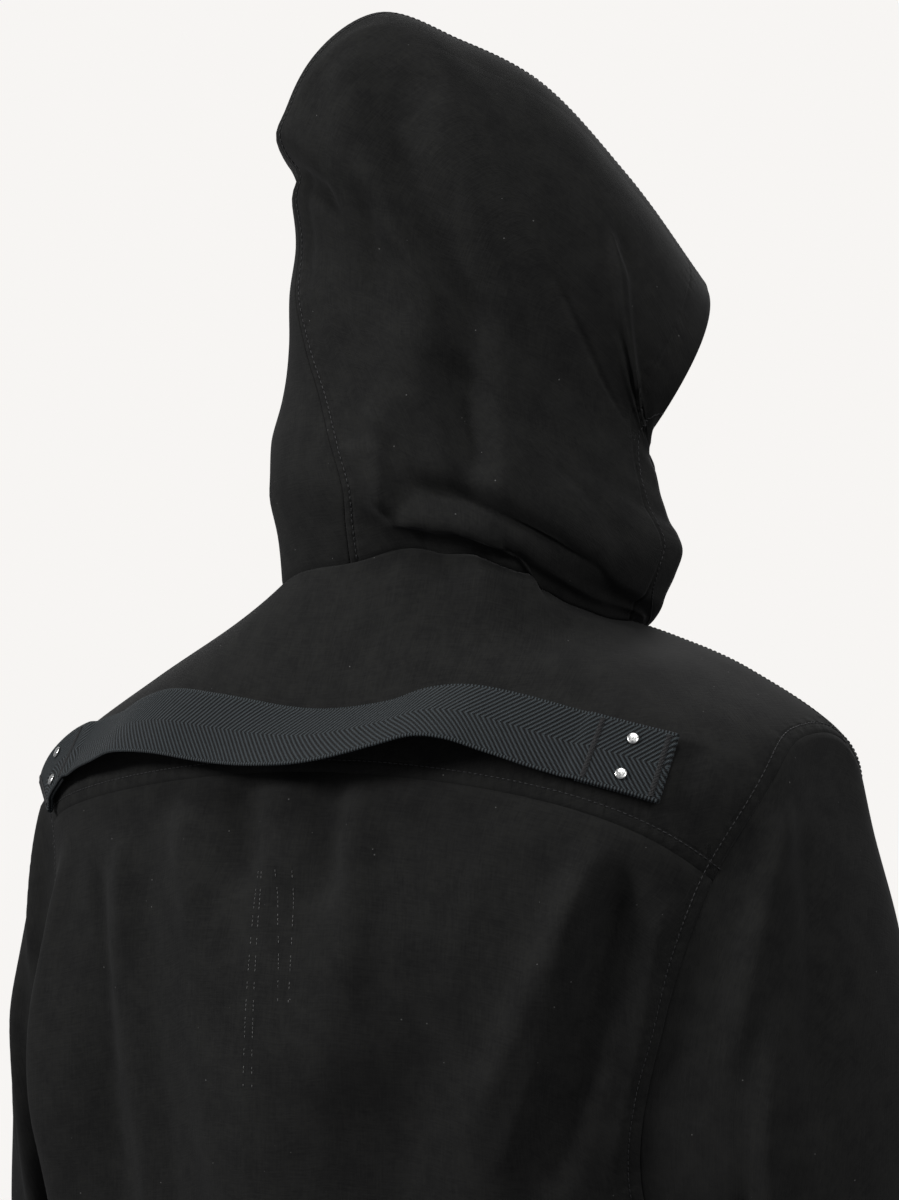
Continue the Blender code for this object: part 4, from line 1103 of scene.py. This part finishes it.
def make_sleeves():
    turns = sleeve_turns()
    for label, side, surface, outward in SLEEVES:
        patch = pairs(turns[None, :], np.linspace(0, SLEEVE_SEAM, SLEEVE_ROWS + 1)[:, None])
        points, facing = patch_grid(surface, outward, patch, ("last",), closed=True)
        facing[0], shift = sewn_to_armhole(surface, outward, turns, side)
        points[0] += shift
        cloth_piece(f"sleeve_{label}", points, facing, closed=True)
        patch = pairs(turns[None, :], np.linspace(SLEEVE_SEAM, CUFF_END, CUFF_ROWS + 1)[:, None])
        points, facing = patch_grid(surface, outward, patch, ("first",), closed=True)
        edges = [(points[row], EDGE_STITCH) for row in (0, -1)]
        cloth_piece(f"cuff_{label}", points, facing, edges, CUFF_CLOTH, True)


def make_hood():
    half = np.concatenate(neck_angles())
    for side, label in ((-1, "right"), (1, "left")):
        patch = pairs(side * half[None, :], np.linspace(0, HOOD_LENGTH, HOOD_ROWS + 1)[:, None])
        points, facing = patch_grid(hood, HOOD_OUTWARD, patch, ("first", "left"))
        points[0] -= unit(points[1] - points[0]) * NECK_TUCK
        seams = [(points[:, 0], HOOD_TOPSTITCH), (points[:, -1], HOOD_HEM), (points[-1], HOOD_HEM)]
        cloth_piece(f"hood_{label}", points, facing, seams[0 if side < 0 else 1:])


def band_angle(across, down):
    """Angle of the torso at a distance across from the centre front."""
    half_width = column(TORSO, "down", "half_width", down)
    square = column(TORSO, "down", "square", down)
    return 180 + np.degrees(np.sign(across) * np.arcsin((np.abs(across) / half_width) ** (square / 2)))


def make_button_band():
    down, across = np.meshgrid(np.linspace(0, HEM_DOWN, LEG_ROWS + LOWER_ROWS + 1),
                               np.linspace(-0.5, 0.5, BAND_COLUMNS + 1) * BAND_WIDTH, indexing="ij")
    patch = pairs(band_angle(across, down), down)
    points, facing = patch_grid(torso, TORSO_OUTWARD, patch, (), lift=SEAM_GAP + BAND_CLOTH)
    edges = [(points[:, side], EDGE_STITCH) for side in (0, -1)]
    cloth_piece("button_band", points, facing, edges, BAND_CLOTH)


def strap_frame(samples=600):
    """Middle line of the strap's underside, its directions along, across and off the cloth, and lengths."""
    rows = np.arange(len(STRAP_ROUTE), dtype=float)
    fine = np.linspace(0, rows[-1], 400)
    route = [curve_through(rows, STRAP[name], fine) for name in STRAP_COLUMNS]
    points = plain_torso(*route[:2]) + normals(plain_torso, *route[:2], TORSO_OUTWARD) * route[2][:, None]
    length = run_lengths(points)
    even = np.linspace(0, length[-1], samples)
    angle, down, lift, tip = (np.interp(even, length, values) for values in route)
    facing = normals(torso_base, angle, down, TORSO_OUTWARD)
    line = torso_base(angle, down) + facing * lift[:, None]
    run = unit(np.gradient(line, axis=0))
    lower = unit(np.cross(run, facing))
    lower *= -np.sign(lower[:, 2:])
    out = np.cross(run, lower)
    out *= np.sign(np.sum(out * facing, axis=-1, keepdims=True))
    turn = np.radians(tip)[:, None]
    lower, out = lower * np.cos(turn) + out * np.sin(turn), out * np.cos(turn) - lower * np.sin(turn)
    return {"line": line, "run": run, "lower": lower, "out": out}, even


def strap_at(frame_lines, distance, places):
    """The strap's line and directions at places along it, as a list in the order line, run, lower, out."""
    return [points_at(places, distance, values) for values in frame_lines.values()]


def make_strap():
    """One length of webbing: its path runs back under each end, round a turn and over the top.

    The path is in distance along the strap and height over the cloth; the section is a flat oval.
    """
    frame_lines, distance = strap_frame()
    length, layer = distance[-1], STRAP_THICK
    half = layer / 2 - STRAP_PLAY
    turn = np.linspace(0, math.pi, 9)
    centre = layer / 2 + half
    under = np.linspace(STRAP_FOLD, centre, 14)
    top = np.linspace(centre, length - centre, 260)
    inside = np.minimum(top, length - top) - STRAP_FOLD
    drop = smooth((inside - 1) / STRAP_DROP)
    along = np.concatenate([under, centre - layer / 2 * np.sin(turn[1:-1]), top,
                            length - centre + layer / 2 * np.sin(turn[1:-1]), length - under[::-1]])
    height = np.concatenate([0 * under + layer / 2, layer - layer / 2 * np.cos(turn[1:-1]),
                             layer * (1.5 - drop), layer + layer / 2 * np.cos(turn[1:-1]),
                             0 * under + layer / 2])
    step = unit(np.stack([np.gradient(along), np.gradient(height)], axis=-1))
    flat = np.linspace(-1, 1, 13) * (STRAP_WIDTH / 2 - half)
    bend = np.linspace(math.pi / 2, -math.pi / 2, 5)[1:-1]
    round_edge, rest = half * np.cos(bend), 0 * flat
    across = np.concatenate([flat, flat[-1] + round_edge, flat[::-1], flat[0] - round_edge])
    depth = np.concatenate([rest + half, half * np.sin(bend), rest - half, -half * np.sin(bend)])
    line, run, lower, out = strap_at(frame_lines, distance, along)
    rise = height[:, None] + step[:, :1] * depth
    slide = -step[:, 1:] * depth
    points = (line[:, None] + lower[:, None] * across[:, None] + out[:, None] * rise[..., None]
              + run[:, None] * slide[..., None])
    rows, columns = points.shape[:2]
    place = np.arange(rows * columns).reshape(rows, columns)
    faces = quads_of(closed_round(place)).tolist() + [place[0, ::-1].tolist(), place[-1].tolist()]
    flat_points, middle = points.reshape(-1, 3), rows // 2
    if not looks_along(flat_points, faces[middle * columns + len(flat) // 2], out[middle]):
        faces = [face[::-1] for face in faces]
    sewn = np.concatenate([[0], np.cumsum(np.hypot(np.diff(along), np.diff(height)))])
    maps = {"cloth": np.stack(np.broadcast_arrays(across[None], sewn[:, None]), axis=-1).reshape(-1, 2)}
    make_piece("back_strap_webbing", flat_points, faces, WEBBING, "black_webbing", ("back_strap",), maps)

    bars = []
    for place in (5.0, STRAP_FOLD - 4, length - STRAP_FOLD + 4, length - 5.0):
        over = np.linspace(-0.44, 0.44, 44) * STRAP_WIDTH
        line, run, lower, out = strap_at(frame_lines, distance, np.full(len(over), place))
        bars.append(stitch_mesh(line + lower * over[:, None] + out * 2 * layer, run, out, 3.4, 0.7))
    make_piece("strap_bar_tacks", *join(bars), BLACK_THREAD, "black_webbing")

    for label, place in (("right", STUD_FROM_END), ("left", length - STUD_FROM_END)):
        line, _, lower, out = (values[0] for values in strap_at(frame_lines, distance, np.array([place])))
        out = unit(out)
        for level, share in (("upper", -0.5), ("lower", 0.5)):
            seat = line + lower * share * STUD_SPACING + out * (2 * STRAP_THICK + 0.2)
            name = f"stud_{label}_{level}"
            head = turned(seat, out, STUD_PROFILE, STUD_SIDES)
            make_piece(name + "_plated", *head, NICKEL, "silver_metal", (name,))


def make_buttons():
    threads = []

    def one(name, surface, outward, angle, down, lift, diameter):
        """Turned button with a rim, a dish and four holes, and two bars of thread across them."""
        angle, down = np.array(float(angle)), np.array(float(down))
        facing = normals(surface, angle, down, outward)
        seat = surface(angle, down) + facing * lift
        size = diameter / BUTTON_DIAMETER
        profile = [(radius * size, height) for radius, height in BUTTON_PROFILE]
        profile += [(radius * size, DISH_EDGE - DISH_DEPTH * (1 - radius / DISH_RADIUS))
                    for radius in (*np.linspace(DISH_RADIUS, 0.3, 13), 0)]
        pits = [(HOLE_FROM_MIDDLE * size, math.pi / 2 * number, HOLE_RADIUS * size, HOLE_DEPTH)
                for number in (0.5, 1.5, 2.5, 3.5)]
        disc = turned(seat, facing, profile, BUTTON_SIDES, pits)
        make_piece(name + "_horn", *disc, HORN, "black_horn", (name,))
        first = unit(np.cross(facing, (0, 0, 1.0)))
        second = np.cross(facing, first)
        sides = np.array([-1.0, 1.0])[:, None] * HOLE_FROM_MIDDLE * math.sqrt(0.5) * size
        centres = seat + first * sides + facing * 1.9
        threads.append(stitch_mesh(centres, np.repeat(second[None], 2, axis=0),
                                   np.repeat(facing[None], 2, axis=0), 3.4 * size, 1.0))

    for number, down in enumerate(np.linspace(BUTTON_FIRST, BUTTON_LAST, BUTTON_COUNT), 1):
        one(f"button_{number}", torso, TORSO_OUTWARD, 180, down, SEAM_GAP + BAND_CLOTH, BUTTON_DIAMETER)
    for label, _, surface, outward in SLEEVES:
        one(f"cuff_button_{label}", surface, outward, CUFF_BUTTON_TURN, (SLEEVE_SEAM + CUFF_END) / 2, 0.0,
            CUFF_BUTTON_DIAMETER)
    make_piece("button_threads", *join(threads), BLACK_THREAD, "black_cloth")


# Broken rows of pale stitches on the back, each from one (angle, down) to another
BROKEN_ROWS = (
    ((2.5, 172.5), (2.0, 289.5)),
    ((2.0, 172.5), (1.0, 288.0)),
    ((0.5, 171.0), (-0.5, 241.5)),
    ((-0.5, 171.0), (-1.5, 241.5)),
)


def hem_row(side, along):
    """The hood's line of samples at HOOD_HEM from its front edge, measured round each row."""
    turns = side * (NECK_END - np.linspace(0, HEM_SEARCH, 2 * HEM_SEARCH + 1))
    rows = hood(turns[None, :], along[:, None])
    length = np.cumsum(np.linalg.norm(np.diff(rows, axis=1), axis=-1), axis=1)
    place = (length < HOOD_HEM).sum(axis=1)
    return pairs(turns[place], along)


def unbroken(places):
    """Which stitches of a broken row are left: those where the sum of two sine waves is high."""
    return np.sin(places * 1.9) + np.sin(places * 0.53) > -0.2


def make_stitching():
    body = [stitch_row(torso, TORSO_OUTWARD, YOKE_LINE, (0, 20), TOPSTITCH)]
    body += [stitch_row(torso, TORSO_OUTWARD, line, (side * 80, 30), TOPSTITCH)
             for side, line in zip((-1, 1), FRONT_LINES)]
    body += [stitch_row(torso, TORSO_OUTWARD, line, (side * 90, 239), -TOPSTITCH)
             for side, line in zip((-1, 1), ARMHOLES)]
    body.append(stitch_row(torso, TORSO_OUTWARD, pairs(HEM_LINE[:, 0], HEM_DOWN - BODY_HEM)))
    down = np.linspace(ROW_MARGIN, HEM_DOWN - ROW_MARGIN, 400)
    for across in (EDGE_STITCH - BAND_WIDTH / 2, BAND_WIDTH / 2 - EDGE_STITCH):
        body.append(stitch_row(torso, TORSO_OUTWARD, pairs(band_angle(across, down), down),
                               lift=SEAM_GAP + BAND_CLOTH))
    make_piece("body_stitching", *join(body), BLACK_THREAD, "black_cloth")

    along = np.linspace(ROW_MARGIN, HOOD_LENGTH - ROW_MARGIN, 500)
    hood_rows = [stitch_row(hood, HOOD_OUTWARD, pairs(0, along), (-60, 200), HOOD_TOPSTITCH)]
    hood_rows += [stitch_row(hood, HOOD_OUTWARD, hem_row(side, along)) for side in (-1, 1)]
    make_piece("hood_stitching", *join(hood_rows), BLACK_THREAD, "black_cloth")

    cuffs = [stitch_row(surface, outward, pairs(np.linspace(-180, 180, 200), along))
             for _, _, surface, outward in SLEEVES
             for along in (SLEEVE_SEAM + EDGE_STITCH, CUFF_END - EDGE_STITCH)]
    make_piece("cuff_stitching", *join(cuffs), BLACK_THREAD, "black_cloth")

    broken = [stitch_row(torso, TORSO_OUTWARD, ruled(*(pairs(*end)[None] for end in ends), 60)[:, 0],
                         keep=unbroken, pitch=2.4, length=1.7, thread=0.4)
              for ends in BROKEN_ROWS]
    make_piece("centre_back_tacking", *join(broken), GREY_THREAD, "black_cloth")


make_body()
make_sleeves()
make_hood()
make_button_band()
make_strap()
make_buttons()
make_stitching()


# ---------------------------------------------------------------- studio

# Seen from behind and the wearer's right; the photograph's optical axis passes through the origin
CAMERA_PLACE = (-1.483, 2.118, 0.2718)
CAMERA_LENS = 137.64
PHOTO_WIDTH, PHOTO_HEIGHT = 899, 1200
AXIS_PIXEL_X, AXIS_PIXEL_Y = 465, 597
FLOOR_HALF, FLOOR_LEVEL = 2.5, -1.45


def area_light(name, place, size, power, aim=(0, 0, -0.25)):
    """A square soft light at a place, turned to its aim."""
    light = bpy.data.lights.new(name, "AREA")
    light.size, light.energy = size, power
    lamp = bpy.data.objects.new(name, light)
    lamp.location = place
    lamp.rotation_euler = (Vector(place) - Vector(aim)).to_track_quat("Z", "Y").to_euler()
    bpy.context.scene.collection.objects.link(lamp)


def make_floor():
    """A square of paper well below the garment, which the photograph's camera doesn't see."""
    corners = [(x * FLOOR_HALF, y * FLOOR_HALF, FLOOR_LEVEL) for x, y in ((-1, -1), (1, -1), (1, 1), (-1, 1))]
    mesh = bpy.data.meshes.new("floor")
    mesh.from_pydata(corners, [], [(0, 1, 2, 3)])
    mesh.materials.append(PAPER)
    floor = bpy.data.objects.new("floor", mesh)
    bpy.context.scene.collection.objects.link(floor)


def make_studio():
    scene = bpy.context.scene
    scene.view_settings.view_transform = "Standard"
    area_light("key", (1.75, 2.3, 1.3), 0.8, 84)
    area_light("right", (-2.7, 1.1, 1.7), 1.2, 44)
    area_light("top", (-0.6, 0.9, 3.0), 1.0, 42)
    area_light("front", (0.9, -2.6, 1.6), 1.6, 40)

    world = bpy.data.worlds.new("studio")
    world.use_nodes = True
    tree, scene.world = world.node_tree, world
    # A white backdrop opposite the camera; the rest of the room is a dim grey
    direction, forward = add_node(tree, "ShaderNodeTexCoord"), tuple(-Vector(CAMERA_PLACE).normalized())
    view = add_node(tree, "ShaderNodeVectorMath", {"operation": "DOT_PRODUCT"}, {0: direction, 1: forward},
                    out=1)
    ahead = add_node(tree, RANGE, SOFT_STEP, {"Value": view, "From Min": 0.88, "From Max": 0.96})
    shade = add_node(tree, MIX, COLOURS,
                     {"Factor": ahead, "A": linear("808184"), "B": linear("f7f5f3")}, out=2)
    tree.links.new(shade, tree.nodes["Background"].inputs["Color"])

    make_floor()

    camera = bpy.data.cameras.new("camera")
    camera.lens, camera.sensor_width = CAMERA_LENS, 36
    camera.shift_x = (PHOTO_WIDTH / 2 - AXIS_PIXEL_X) / PHOTO_HEIGHT
    camera.shift_y = (AXIS_PIXEL_Y - PHOTO_HEIGHT / 2) / PHOTO_HEIGHT
    camera.clip_end = 50
    viewer = bpy.data.objects.new("camera", camera)
    viewer.location = CAMERA_PLACE
    viewer.rotation_euler = Vector(CAMERA_PLACE).to_track_quat("Z", "Y").to_euler()
    scene.collection.objects.link(viewer)
    scene.camera = viewer


make_studio()
